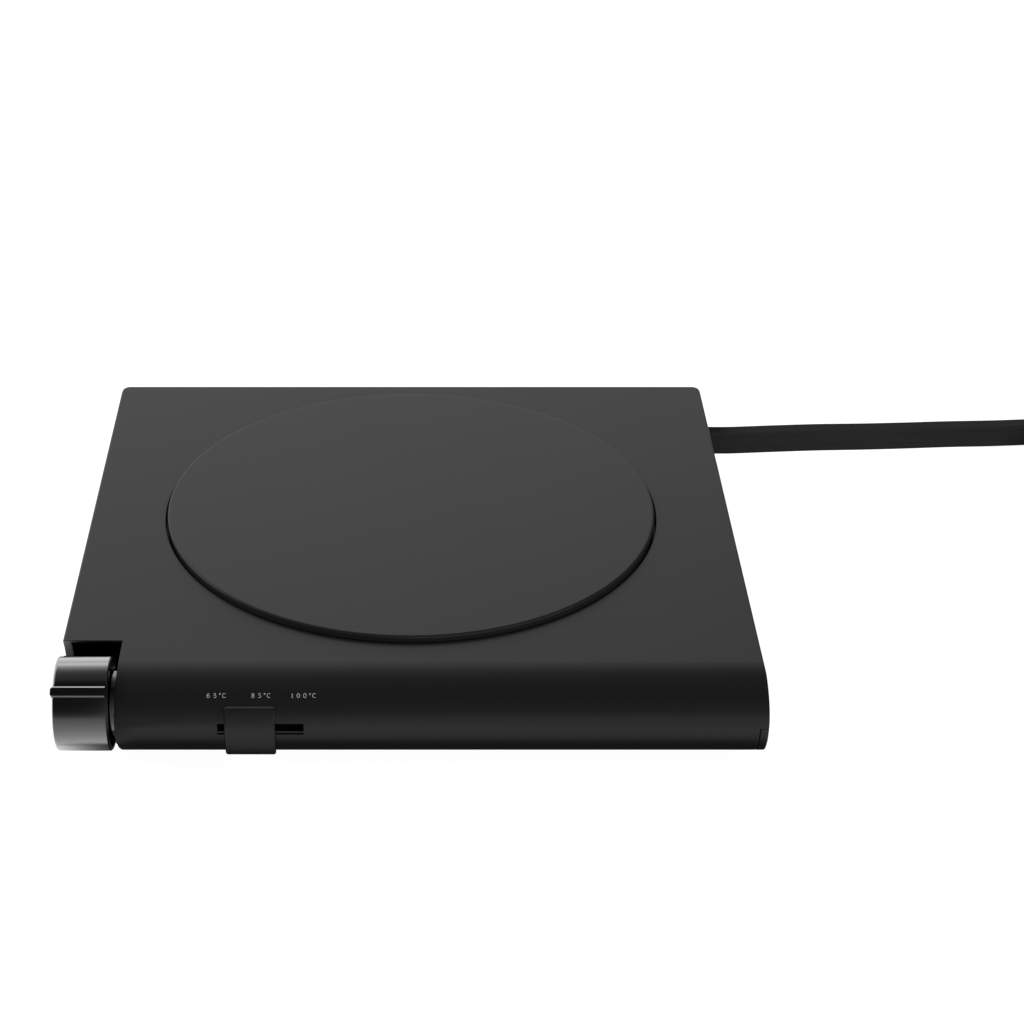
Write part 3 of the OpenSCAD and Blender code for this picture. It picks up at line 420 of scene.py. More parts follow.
@dataclass(frozen=True)
class Finish:
    """A procedural finish.

    Attributes:
        slot: The record's material slot.
        colour: Linear base colour.
        roughness: Mean roughness.
        metallic: 1 for bare metal.
        grain: Direction of the fine texture.
        grain_size: Size of one grain in metres.
        relief: Height of the grain in metres.
        patchy: How far roughness swings over a few centimetres.
        mottle: How far the colour swings from grain to grain.
        gloss: Strength of the reflection at a glance, 0.5 for plain plastic.
        plated_to: Place along X where the plating ends and black plastic begins.
        recess: Lower and upper corner of a box round the pocket behind the knob, where the
            surface is painted plain black as painted shade.
    """

    slot: str
    colour: Colour
    roughness: float
    metallic: float = 0.0
    grain: Grain = Grain.EVEN
    grain_size: float = 0.35 * MM
    relief: float = 0.006 * MM
    patchy: float = 0.05
    mottle: float = 0.08
    gloss: float = 0.5
    plated_to: float | None = None
    recess: tuple[Point, Point] | None = None
    patches = 45.0
    raw_black = (0.004, 0.004, 0.004, 1.0)
    # Plain black of the painted shade inside the recess box.
    painted_shade_black = (0.001, 0.001, 0.001, 1.0)

    def _stretch(self) -> Point:
        """Scale of the grain along each axis."""
        return {Grain.ALONG_X: (0.03, 1.0, 1.0), Grain.ALONG_Y: (1.0, 0.03, 1.0),
                Grain.FIBRES: (0.35, 1.0, 1.6)}.get(self.grain, (1.0, 1.0, 1.0))

    def _fine(self, graph: Graph, place: bpy.types.NodeSocket) -> Value:
        """Height of the fine texture, about 0 to 1.

        Args:
            graph: The material's graph.
            place: Object coordinates.

        Returns:
            The height.
        """
        scale = 1.0 / self.grain_size
        if self.grain is Grain.TURNED:
            x, y, _ = graph.split(place)
            y = y - WarmingPlate.centre_y
            radius = (x * x + y * y) ** 0.5
            noise = graph.node("ShaderNodeTexNoise", {"noise_dimensions": "1D"}, {
                "W": radius, "Scale": scale, "Detail": 2.0})
        else:
            mapped = graph.node("ShaderNodeMapping", {}, {
                "Vector": place, "Scale": self._stretch()})
            noise = graph.node("ShaderNodeTexNoise", {}, {
                "Vector": mapped, "Scale": scale, "Detail": 3.0, "Roughness": 0.6})
        return graph.value(noise)

    def material(self) -> bpy.types.Material:
        """Makes the finish's material, once.

        Returns:
            The material.
        """
        name = f"{self.slot}_finish"
        made = bpy.data.materials.get(name)
        if made is not None:
            return made
        made = bpy.data.materials.new(name)
        made.use_nodes = True
        graph = Graph(made.node_tree)
        place = graph.node("ShaderNodeTexCoord").outputs["Object"]
        fine = self._fine(graph, place)
        broad = graph.value(graph.node("ShaderNodeTexNoise", {}, {
            "Vector": place, "Scale": self.patches, "Detail": 3.0, "Roughness": 0.55}))
        roughness = (self.roughness + (broad - 0.5) * (2 * self.patchy)
                     + (fine - 0.5) * self.patchy).clamp(0.02, 1.0)
        dark = [c * (1 - self.mottle) for c in self.colour]
        light = [min(1.0, c * (1 + self.mottle)) for c in self.colour]
        tint = graph.node("ShaderNodeMix", {"data_type": "RGBA"}, {
            "Factor": (fine * 0.6 + broad * 0.4).clamp(), "A": (*dark, 1.0),
            "B": (*light, 1.0)})
        sockets = {"Base Color": tint.outputs["Result"], "Roughness": roughness,
                   "Metallic": self.metallic, "Specular IOR Level": self.gloss}
        if self.plated_to is not None:
            plated = ((self.plated_to - graph.split(place)[0]) * STEEP).clamp()
            two = graph.node("ShaderNodeMix", {"data_type": "RGBA"}, {
                "Factor": plated, "A": self.raw_black, "B": tint.outputs["Result"]})
            sockets |= {"Base Color": two.outputs["Result"], "Metallic": plated}
        if self.relief > 0:
            bump = graph.node("ShaderNodeBump", {}, {
                "Strength": 1.0, "Distance": self.relief, "Height": fine})
            sockets["Normal"] = bump.outputs[0]
        surface = graph.node("ShaderNodeBsdfPrincipled", {}, sockets)
        # Painted shade: inside the recess box the finish gives way to plain black diffuse,
        # standing in for the shade in the pocket behind the knob.
        if self.recess is not None:
            inside = 1.0
            for at, low, high in zip(graph.split(place), *self.recess):
                inside = ((at - low) * STEEP).clamp() * ((high - at) * STEEP).clamp() * inside
            painted_shade = graph.node("ShaderNodeBsdfDiffuse", {}, {"Color": self.painted_shade_black})
            surface = graph.node("ShaderNodeMixShader", {}, {0: inside, 1: surface, 2: painted_shade})
        graph.node("ShaderNodeOutputMaterial", {}, {0: surface})
        return made


# The shell's recess box is painted shade: the pocket behind the knob is drawn plain black.
BLACK_SHELL = Finish(
    "matt_black_plastic", grey(0.0085), 0.31, grain_size=0.22 * MM, relief=0.0035 * MM,
    patchy=0.02, recess=((-63.4 * MM, -62.0 * MM, -1.0 * MM),
                         (-54.2 * MM, -39.0 * MM, 17.05 * MM)))
BLACK_PLATE = Finish("coated_plate", grey(0.0105), 0.33, grain_size=0.3 * MM,
                     relief=0.003 * MM, patchy=0.02, gloss=0.54)
DARK_CHROME = Finish("dark_chrome", grey(0.62), 0.07, 1.0, Grain.ALONG_X, 0.5 * MM,
                     relief=0.0, patchy=0.015, mottle=0.02)
GLOSS_BLACK = Finish("black_plastic", (0.004, 0.004, 0.0041), 0.2,
                     grain_size=0.4 * MM, relief=0.0005 * MM, patchy=0.03)
BLACK_RUBBER = Finish("black_rubber", grey(0.0245), 0.6, grain_size=0.5 * MM,
                      relief=0.004 * MM, patchy=0.06, gloss=0.0)
FINISHES = {finish.slot: finish for finish in (
    BLACK_SHELL, BLACK_PLATE, DARK_CHROME, GLOSS_BLACK, BLACK_RUBBER,
    Finish("red_silicone", (0.09, 0.02, 0.015), 0.6),
    Finish("steel", (0.6, 0.6, 0.61), 0.3, 1.0, Grain.ALONG_X),
    Finish("nickel", (0.66, 0.65, 0.62), 0.18, 1.0, Grain.ALONG_Y, relief=0.002 * MM),
    Finish("brass", (0.68, 0.5, 0.22), 0.25, 1.0),
    Finish("mica", (0.6, 0.5, 0.35), 0.45, grain_size=1.2 * MM, mottle=0.3),
    Finish("fibre_felt", (0.82, 0.81, 0.77), 0.95, grain=Grain.FIBRES,
           grain_size=0.8 * MM, relief=0.08 * MM),
    Finish("board_green", (0.03, 0.18, 0.08), 0.3, mottle=0.2),
    Finish("component_blue", (0.04, 0.1, 0.35), 0.4),
    Finish("component_red", (0.45, 0.06, 0.03), 0.35),
    Finish("terminal_green", (0.08, 0.3, 0.14), 0.45),
    Finish("switch_grey", (0.08, 0.08, 0.09), 0.5),
    Finish("natural_plastic", (0.72, 0.71, 0.66), 0.45),
    Finish("white_insulation", (0.75, 0.75, 0.72), 0.5),
    Finish("brown_insulation", (0.16, 0.06, 0.03), 0.4),
)}


def place_piece(piece: Piece, slot: str, body: str) -> None:
    """Dresses a new piece in its slot's finish and lets it ride.

    Args:
        piece: The finished piece.
        slot: Slot of the finish that it takes.
        body: CAD body that carries it.
    """
    dress(piece, FINISHES[slot].material())
    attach(piece, body)
    LOG.info("%s: %d faces, %s, on %s", piece.name, len(piece.data.polygons), slot, body)


def stand_in(piece: Piece, *nodes: str) -> None:
    """Puts a piece in the place of CAD nodes, with slot and body of the first."""
    place_piece(piece, *home(nodes[0]))
    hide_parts(*nodes)


def skinned(node: str, *eases: Ease, cuts: Sequence[float] = ()) -> Piece:
    """Replaces a CAD node by a smooth, closed copy with eased edges.

    Args:
        node: Name of the CAD node.
        *eases: Passes of rounding over its edges, in order.
        cuts: Places along X where long faces are parted, so that the shading
            of a corner stays there.

    Returns:
        The copy.
    """
    work = bmesh.new()
    work.from_mesh(frame["nodes"][node].data)
    bmesh.ops.remove_doubles(work, verts=work.verts, dist=WELD)
    bmesh.ops.dissolve_limit(work, angle_limit=FLAT, verts=work.verts, edges=work.edges)
    for cut in cuts:
        bmesh.ops.bisect_plane(work, geom=[*work.verts, *work.edges, *work.faces],
                               plane_co=(cut, 0.0, 0.0), plane_no=(1.0, 0.0, 0.0))
    for ease in eases:
        ease.apply(work)
    piece = new_piece(f"{node}_skin", [], [])
    work.to_mesh(piece.data)
    work.free()
    smooth(piece, 50.0)
    weigh_normals(piece)
    stand_in(piece, node)
    return piece


def arc(centre: Pair, radii: Pair, start: float,
        stop: float, steps: int = 0) -> list[Pair]:
    """Points along part of an ellipse.

    Args:
        centre: Its centre.
        radii: Half of its width and half of its height.
        start: First angle in degrees.
        stop: Last angle in degrees.
        steps: Number of chords, or 0 for one to every 18 degrees.

    Returns:
        The points, both ends included.
    """
    steps = steps or max(4, round(abs(stop - start) / 18))
    angles = [math.radians(start + (stop - start) * i / steps) for i in range(steps + 1)]
    return [(centre[0] + radii[0] * math.cos(a), centre[1] + radii[1] * math.sin(a))
            for a in angles]


# ------------------------------------------------------------- turned repeats


class TurnedParts:
    """Turns an outline about Z and sets a copy on each point, by Geometry Nodes."""

    core = 0.1 * MM
    bar_share = 0.24

    def __init__(self) -> None:
        """Builds the tree with its named inputs."""
        tree = GeometryTree("turned_parts", [
            ("Outline", "Object"), ("Segments", "Int"), ("Recess", "Float"),
            ("Recess Depth", "Float")])
        outline = tree.node("GeometryNodeObjectInfo", {}, {
            "Object": tree.inputs["Outline"]})
        curve = tree.node("GeometryNodeMeshToCurve", {}, {0: outline.outputs["Geometry"]})
        ring = tree.node("GeometryNodeCurvePrimitiveCircle", {"mode": "RADIUS"}, {
            "Resolution": tree.inputs["Segments"], "Radius": self.core})
        turned = tree.node("GeometryNodeCurveToMesh", {}, {
            "Curve": ring, "Profile Curve": curve})
        closed = tree.node("GeometryNodeMergeByDistance", {}, {
            "Geometry": turned, "Distance": WELD})
        long = Value(tree, tree.inputs["Recess"])
        deep = Value(tree, tree.inputs["Recess Depth"])
        thin = long * self.bar_share
        cut = closed
        for size in ((long, thin), (thin, long)):
            extent = tree.node("ShaderNodeCombineXYZ", {}, {
                0: size[0], 1: size[1], 2: deep * 2.0})
            bar = tree.node("GeometryNodeMeshCube", {}, {"Size": extent})
            cut = tree.node("GeometryNodeMeshBoolean", {"operation": "DIFFERENCE"}, {
                "Mesh 1": cut, "Mesh 2": bar})
        slotted = tree.node("GeometryNodeSwitch", {"input_type": "GEOMETRY"}, {
            "Switch": deep.above(0.0), "False": closed, "True": cut})
        copies = tree.node("GeometryNodeInstanceOnPoints", {}, {
            "Points": tree.inputs["Geometry"], "Instance": slotted})
        tree.finish(copies)
        self.tree = tree

    def make(self, node: str, outline: Sequence[Pair], points: Sequence[Point],
             segments: int, recess: float = 0.0, recess_depth: float = 0.0,
             weighed: bool = False) -> None:
        """Replaces a CAD node by turned copies.

        Args:
            node: Name of the CAD node.
            outline: Radius and height along the outline, from axis to axis,
                with a recess at height 0 where there is one.
            points: Where a copy stands.
            segments: Steps of a full turn.
            recess: Length of the cross recess, or 0.
            recess_depth: Its depth, or 0.
            weighed: Whether large flat faces stay flat at rounded edges.
        """
        shape = new_piece("outline", [(r - self.core, -h, 0.0) for r, h in outline], [],
                          [(i, i + 1) for i in range(len(outline) - 1)])
        piece = self.tree.bake(f"{node}_turned", points, {
            "Outline": shape, "Segments": segments, "Recess": recess,
            "Recess Depth": recess_depth, "Finish": FINISHES[home(node)[0]].material()})
        bpy.data.objects.remove(shape)
        if weighed:
            weigh_normals(piece)
        stand_in(piece, node)


class Beading:
    """Lays a slim bar along each path, by Geometry Nodes."""

    def __init__(self) -> None:
        """Builds the tree with its named inputs."""
        tree = GeometryTree("beading", [("Radius", "Float"), ("Segments", "Int")])
        path = tree.node("GeometryNodeMeshToCurve", {}, {0: tree.inputs["Geometry"]})
        path = tree.node("GeometryNodeSetCurveNormal", {"mode": "Z_UP"}, {0: path})
        path = tree.node("GeometryNodeSetCurveTilt", {}, {
            "Curve": path, "Tilt": math.radians(45)})
        ring = tree.node("GeometryNodeCurvePrimitiveCircle", {"mode": "RADIUS"}, {
            "Resolution": tree.inputs["Segments"], "Radius": tree.inputs["Radius"]})
        bead = tree.node("GeometryNodeCurveToMesh", {}, {
            "Curve": path, "Profile Curve": ring, "Fill Caps": True})
        tree.finish(bead)
        self.tree = tree

    def make(self, name: str, paths: Sequence[Sequence[Point]], radius: float,
             segments: int, slot: str, body: str) -> Piece:
        """Makes one piece of bars.

        Args:
            name: Name of the piece.
            paths: Points of each bar's path.
            radius: Radius around a bar.
            segments: Sides of a bar.
            slot: Slot of the finish.
            body: CAD body that carries it.

        Returns:
            The piece.
        """
        points = [p for path in paths for p in path]
        edges, start = [], 0
        for path in paths:
            edges += [(start + i, start + i + 1) for i in range(len(path) - 1)]
            start += len(path)
        piece = self.tree.bake(name, points, {
            "Radius": radius, "Segments": segments,
            "Finish": FINISHES[slot].material()}, edges)
        place_piece(piece, slot, body)
        return piece


# ---------------------------------------------------------------- sub-assemblies


@dataclass
class Assembly:
    """A part of the object, with its makers of turned pieces and of bars."""

    turned: TurnedParts
    beading: Beading

    def build(self) -> None:
        """Makes and dresses the pieces."""
        raise NotImplementedError


@dataclass
class Housing(Assembly):
    """Shell, cover, feet and the cover's screws.

    Attributes:
        edge: Width of the eased edges.
        rim: Width of the rounding round the plate's opening.
        opening: Radius of that opening.
        opening_low: Height over which that rounding lies.
        nose_corner: Width of the rounding of the nose's lower end by the knob.
        nose_end: Place of that end along X.
        nose_zone: How far back and how high that rounding goes.
        nose_part: Distance from that end at which the nose's faces are parted.
        slot_middle: Middle of the slider's slot.
        slot_reach: Half of the space round the slot whose edges stay crisp.
        foot: Radius and height of a rubber foot, its seat included.
        foot_rings: Inner and outer radius of each ring under a foot.
        ring_depth: Their depth.
        head: Radius and height of a screw's head.
        shank: Radius of a screw's shank and height of its shoulder and tip.
        cross: Length and depth of the cross recess.
    """

    edge: float = 0.12 * MM
    rim: float = 0.25 * MM
    opening: float = 49.95 * MM
    opening_low: float = 17.85 * MM
    nose_corner: float = 0.8 * MM
    nose_end: float = -53.8 * MM
    nose_zone: Pair = (-52 * MM, 6.5 * MM)
    nose_part: float = 1.2 * MM
    slot_middle: Point = (-27.3 * MM, -61.5 * MM, 10.5 * MM)
    slot_reach: Point = (8.3 * MM, 4.0 * MM, 1.6 * MM)
    foot: Pair = (5.0 * MM, 2.6 * MM)
    foot_rings: tuple[Pair, ...] = ((1.2 * MM, 2.4 * MM),
                                                   (3.2 * MM, 4.0 * MM))
    ring_depth: float = 0.25 * MM
    head: Pair = (2.6 * MM, 1.1 * MM)
    shank: Point = (1.3 * MM, 8.6 * MM, 9.1 * MM)
    cross: Pair = (2.9 * MM, 0.6 * MM)

    def _on_nose_corner(self, place: Vector) -> bool:
        """Whether a place is on the lower end edge of the nose, by the knob."""
        return (abs(place.x - self.nose_end) < 0.02 * MM
                and place.y < self.nose_zone[0] and place.z < self.nose_zone[1])

    def _on_plate_rim(self, place: Vector) -> bool:
        """Whether a place is on the upper edge of the plate's opening."""
        radius = math.hypot(place.x, place.y - WarmingPlate.centre_y)
        return abs(radius - self.opening) < 0.06 * MM and place.z > self.opening_low

    def _plain(self, place: Vector) -> bool:
        """Whether a place is clear of the slot, whose edges stay crisp."""
        return any(abs(a - b) > reach for a, b, reach
                   in zip(place, self.slot_middle, self.slot_reach))

    def build(self) -> None:
        """Makes and dresses the pieces."""
        skinned("top_shell", Ease(self.nose_corner, self._on_nose_corner, 3),
                Ease(self.rim, self._on_plate_rim, 3), Ease(self.edge, self._plain),
                cuts=(self.nose_end + self.nose_part,))
        skinned("bottom_cover", Ease(self.edge))
        self._feet()
        self._screws()

    @staticmethod
    def _centres(node: str) -> list[Point]:
        """Middle of each of a CAD node's four solids, at its lowest height.

        Args:
            node: Name of the node.

        Returns:
            One point for each solid.
        """
        low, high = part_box(node)
        middle = (low[1] + high[1]) / 2
        spans: list[Point] = []
        for sx, sy in product((-1, 1), (-1, 1)):
            near = [v.co for v in frame["nodes"][node].data.vertices
                    if sx * v.co.x > 0 and sy * (v.co.y - middle) > 0]
            spans.append(((min(v.x for v in near) + max(v.x for v in near)) / 2,
                          (min(v.y for v in near) + max(v.y for v in near)) / 2, low[2]))
        return spans

    def _feet(self) -> None:
        """Makes rubber feet with two shallow rings pressed into their undersides."""
        (r, h), ease, groove = self.foot, 0.4 * MM, self.ring_depth
        outline = [(0.0, 0.0)]
        for (inner, outer), slope in zip(self.foot_rings, (0.3 * MM, 0.2 * MM)):
            outline += [(inner, 0.0), (inner + slope, groove), (outer - slope, groove),
                        (outer, 0.0)]
        outline += arc((r - ease, ease), (ease, ease), -90, 0, 4)
        outline += [(r, h), (0.0, h)]
        self.turned.make("rubber_feet", outline, self._centres("rubber_feet"), 48)

    def _screws(self) -> None:
        """Makes pan-head cross screws, heads down in the cover's counterbores."""
        (r, h), ease = self.head, 0.5 * MM
        shank, shoulder, tip = self.shank
        outline = [(0.0, 0.0), (r * 0.6, 0.03 * MM)]
        outline += arc((r - ease, 0.55 * MM), (ease, ease), -80, 0, 5)
        outline += [(r, h), (shank, h), (shank, shoulder), (1.0 * MM, tip), (0.0, tip)]
        self.turned.make("cover_screws", outline, self._centres("cover_screws"), 40,
                         *self.cross)


@dataclass
class WarmingPlate(Assembly):
    """The heating plate, turned from one outline.

    Attributes:
        radius: Radius of the plate's visible disc.
        edge: Radius of its upper edge.
        flange: Lower and upper side of its flange.
        wall: Thickness of its wall.
        web: Height of its underside.
    """

    radius: float = 49.6 * MM
    edge: float = 0.5 * MM
    flange: Pair = (14.6 * MM, 15.5 * MM)
    wall: float = 3.6 * MM
    web: float = 16.1 * MM
    centre_y = 5.8 * MM

    def build(self) -> None:
        """Makes the plate, as high and wide as its CAD node."""
        low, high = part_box("heating_plate")
        top, reach, bowl = high[2], (high[0] - low[0]) / 2, self.radius - self.wall
        under, over = self.flange
        outline = [(0.0, top), *arc((self.radius - self.edge, top - self.edge),
                                    (self.edge, self.edge), 90, 0, 8)]
        outline += [(self.radius, over), (reach, over), (reach, under), (bowl, under),
                    (bowl, self.web), (0.0, self.web)]
        self.turned.make("heating_plate", outline, [(0.0, self.centre_y, 0.0)], 256,
                         weighed=True)


@dataclass
class PowerKnob(Assembly):
    """Chromed sleeve, pointer with its bright beads, and the collar behind them.

    Attributes:
        rim: Width of the sleeve's eased edges.
        pointer_rim: Width of the pointer's eased edges.
        collar_rim: Width of the collar's eased edges.
        collar_tint: Grey level of the collar's darker chrome.
        collar_roughness: Its roughness.
        plated_to: Inner end of the sleeve's plating along X.
        axis: A point on the knob's axis, at its outer end.
        inner: Place of the beads' inner ends along X.
        radius: Radius of the sleeve.
        angle: Angle of the pointer above the horizontal, in degrees.
        apart: Distance of each bead from the pointer's middle.
        bead: Radius of a bead.
        turn: Radius of its turn at the sleeve's outer end.
        reach: Distance from the axis at which it ends.
    """

    rim: float = 0.06 * MM
    pointer_rim: float = 0.12 * MM
    collar_rim: float = 0.04 * MM
    collar_tint: float = 0.34
    collar_roughness: float = 0.1
    plated_to: float = -55.22 * MM
    axis: Point = (-65 * MM, -53.2 * MM, 10.6 * MM)
    inner: float = -55.4 * MM
    radius: float = 8.75 * MM
    angle: float = 48.0
    apart: float = 0.76 * MM
    bead: float = 0.25 * MM
    turn: float = 0.3 * MM
    reach: float = 2.4 * MM

    def build(self) -> None:
        """Makes and dresses the pieces."""
        sleeve = skinned("knob_sleeve", Ease(self.rim))
        dress(sleeve, replace(DARK_CHROME, slot="plated_sleeve",
                              plated_to=self.plated_to).material())
        skinned("knob_pointer", Ease(self.pointer_rim))
        collar = skinned("knob_collar", Ease(self.collar_rim))
        dress(collar, replace(DARK_CHROME, slot="smoked_collar",
                              colour=grey(self.collar_tint),
                              roughness=self.collar_roughness).material())
        self.beading.make("pointer_beads", [self._path(side) for side in (-1, 1)],
                          self.bead, 4, *home("knob_sleeve"))

    def _path(self, side: int) -> list[Point]:
        """Path of one bead, along the sleeve and down its outer end.

        Args:
            side: -1 for the bead below the pointer, 1 for the one above it.

        Returns:
            The path's points.
        """
        a = math.radians(self.angle)
        out = Vector((0.0, -math.cos(a), math.sin(a)))
        across = Vector((0.0, math.sin(a), math.cos(a))) * (side * self.apart)
        middle = Vector(self.axis) + across
        end, ease = self.axis[0], self.turn
        top = math.sqrt(self.radius ** 2 - self.apart ** 2)
        line = [(self.inner, top),
                *arc((end + ease, top - ease), (ease, ease), 90, 180, 6),
                (end, self.reach)]
        return [tuple(Vector((x, middle.y, middle.z)) + out * far) for x, far in line]


@dataclass(frozen=True)
class Nose:
    """Profile of the rounded front edge, two quarter ellipses nose to nose.

    Attributes:
        front: Place of its foremost line along Y.
        height: Height of that line.
        top_run: Depth of the upper quarter.
        top_rise: Height of the upper quarter.
        low_run: Depth of the lower quarter.
        low_rise: Height of the lower quarter.
    """

    front: float = -61.5 * MM
    height: float = 10.8 * MM
    top_run: float = 11.4 * MM
    top_rise: float = 7.1 * MM
    low_run: float = 7.9 * MM
    low_rise: float = 8.8 * MM

    def point(self, x: float, angle: float, off: float) -> Point:
        """A point on or over the nose.

        Args:
            x: Place along the nose.
            angle: Degrees up the profile from its foremost line.
            off: Distance outwards from the surface.

        Returns:
            The point.
        """
        a = math.radians(angle)
        run, rise = ((self.top_run, self.top_rise) if a > 0
                     else (self.low_run, self.low_rise))
        out = Vector((-math.cos(a) / run, math.sin(a) / rise)).normalized()
        return (x, self.front + run * (1 - math.cos(a)) + off * out.x,
                self.height + rise * math.sin(a) + off * out.y)

    def angle_over(self, height: float) -> float:
        """Profile angle in degrees of a height over the foremost line."""
        return math.degrees(math.asin((height - self.height) / self.top_rise))

    def pace(self, angle: float) -> float:
        """Length of one degree along the upper profile.

        Args:
            angle: Degrees up the profile.

        Returns:
            The length.
        """
        a = math.radians(angle)
        return math.radians(math.hypot(self.top_run * math.sin(a),
                                       self.top_rise * math.cos(a)))


@dataclass
class SliderCap:
    """The selector's tab: a thin pad bent over the nose, and its neck.

    Attributes:
        middle: Its middle along X at rest.
        width: Its width.
        thick: Its thickness.
        gap: Its clearance from the nose.
        top: Profile angle of its upper end.
        low: Profile angle of its lower end.
        low_run: Depth of the pad's own lower curve.
        low_rise: Height of the pad's own lower curve.
        bead: Depth of the rounding along its upper end.
        bead_length: Length of that rounding.
        bead_power: Its form, 2 for an ellipse, nearer to 1 for a bevel.
        hem: Radius of the rounding along its lower end.
        side: Radius of the rounding along its sides.
        corner: Radius of its corners, seen from the front.
        neck_low: Lowest corner of the neck, counted from the cap's middle.
        neck_high: Highest corner of the neck.
        rows: Faces from end to end.
        columns: Faces from side to side.
        crowding: How much closer they lie near the edges.
        fine: Steps in which the pad's length is measured.
    """

    middle: float = -29.2 * MM
    width: float = 9.2 * MM
    thick: float = 0.75 * MM
    gap: float = 0.15 * MM
    top: float = 31.0
    low: float = -62.0
    low_run: float = 2.5 * MM
    low_rise: float = 6.6 * MM
    bead: float = 0.65 * MM
    bead_length: float = 0.8 * MM
    bead_power: float = 1.3
    hem: float = 0.3 * MM
    side: float = 0.25 * MM
    corner: float = 0.7 * MM
    neck_low: Point = (-1.5 * MM, -62.0 * MM, 9.98 * MM)
    neck_high: Point = (1.5 * MM, -56.9 * MM, 11.6 * MM)
    rows: int = 72
    columns: int = 44
    crowding: float = 0.13
    fine: int = 400

    def _close_ends(self, count: int) -> list[float]:
        """Shares from 0 to 1 that lie closer together near both ends."""
        return [i / count - self.crowding * math.sin(math.tau * i / count)
                for i in range(count + 1)]

    @staticmethod
    def _drop(apart: float, length: float, depth: float | None = None,
              power: float = 2.0) -> float:
        """How far a rounded edge falls at a distance from the edge.

        Args:
            apart: Distance from the edge.
            length: Length of the rounding.
            depth: Its depth, or None for the same as its length.
            power: 2 for an ellipse, nearer to 1 for a bevel.

        Returns:
            The fall.
        """
        near = min(1.0, max(0.0, 1.0 - apart / length))
        return (length if depth is None else depth) * (
            1.0 - (1.0 - near ** power) ** (1.0 / power))

    def _grid(self, nose: Nose) -> tuple[list[Point], list[Point]]:
        """Points of the outer and the inner side, row by row from the top.

        Args:
            nose: The profile that the pad follows.

        Returns:
            Both sides' points, in the same order.
        """
        angles = [self.top + (self.low - self.top) * i / self.fine
                  for i in range(self.fine + 1)]
        line = [Vector(nose.point(0.0, a, self.gap + self.thick)) for a in angles]
        walked = [0.0]
        for a, b in zip(line, line[1:]):
            walked.append(walked[-1] + (b - a).length)
        outer: list[Point] = []
        inner: list[Point] = []
        for share in self._close_ends(self.rows):
            along = share * walked[-1]
            angle = next((a for a, far in zip(angles, walked) if far >= along), self.low)
            from_top, from_low = along, walked[-1] - along
            half = self.width / 2 - self._drop(min(from_top, from_low), self.corner)
            for across in self._close_ends(self.columns):
                x = half * (2 * across - 1)
                fall = max(self._drop(from_top, self.bead_length, self.bead,
                                      self.bead_power),
                           self._drop(from_low, self.hem),
                           self._drop(half - abs(x), self.side))
                place = self.middle + x
                outer.append(nose.point(place, angle, self.gap + self.thick - fall))
                inner.append(nose.point(place, angle, self.gap))
        return outer, inner

    def _neck(self) -> Piece:
        """Makes the bar that goes through the slot.

        Returns:
            The bar, not yet part of the cap.
        """
        corners = [(self.middle + x, y, z)
                   for x, y, z in product(*zip(self.neck_low, self.neck_high))]
        return new_piece("neck", corners, [(0, 1, 3, 2), (4, 6, 7, 5), (0, 4, 5, 1),
                                           (2, 3, 7, 6), (0, 2, 6, 4), (1, 5, 7, 3)])

    def build(self, nose: Nose) -> None:
        """Makes and dresses the cap.

        Args:
            nose: The profile that the pad follows.
        """
        outer, inner = self._grid(replace(nose, low_run=self.low_run,
                                          low_rise=self.low_rise))
        width, count = self.columns + 1, len(outer)
        faces = []
        for i, j in product(range(self.rows), range(self.columns)):
            a = i * width + j
            quad = (a, a + width, a + width + 1, a + 1)
            faces += [quad, tuple(count + k for k in reversed(quad))]
        rim = list(range(width))
        rim += [i * width + self.columns for i in range(1, self.rows + 1)]
        rim += [self.rows * width + j for j in range(self.columns - 1, -1, -1)]
        rim += [i * width for i in range(self.rows - 1, 0, -1)]
        faces += [(a, b, b + count, a + count) for a, b in zip(rim, rim[1:] + rim[:1])]
        cap = new_piece("slider_cap_pad", outer + inner, faces)
        tidy_normals(cap)
        neck = self._neck()
        union = cap.modifiers.new("neck", "BOOLEAN")
        union.operation = "UNION"
        union.solver = "EXACT"
        union.object = neck
        flatten(cap)
        bpy.data.objects.remove(neck)
        tidy_normals(cap, 50.0)
        stand_in(cap, "slider_cap")


STROKES = {
    "0": [arc((0, 0), (0.29, 0.5), 0, 360)],
    "1": [[(-0.06, 0.3), *((0.13, 0.5 - i / 8) for i in range(9))],
          [(-0.05, -0.5), (0.31, -0.5)]],
    "5": [[(0.24, 0.5), (-0.18, 0.5), (-0.21, 0.07),
           *arc((-0.02, -0.18), (0.29, 0.32), 115, -140)]],
    "6": [arc((0, -0.19), (0.29, 0.31), 0, 360),
          arc((0.25, -0.15), (0.54, 0.65), 180, 105)],
    "8": [arc((0, 0.26), (0.22, 0.24), 0, 360), arc((0, -0.24), (0.28, 0.26), 0, 360)],
    "°": [arc((0, 0.38), (0.13, 0.13), 0, 360)],
    "C": [arc((0, 0), (0.4, 0.5), 48, 312)],
}
PAD_PRINT = Finish("pad_print", grey(0.36), 0.6, relief=0.0, mottle=0.05)


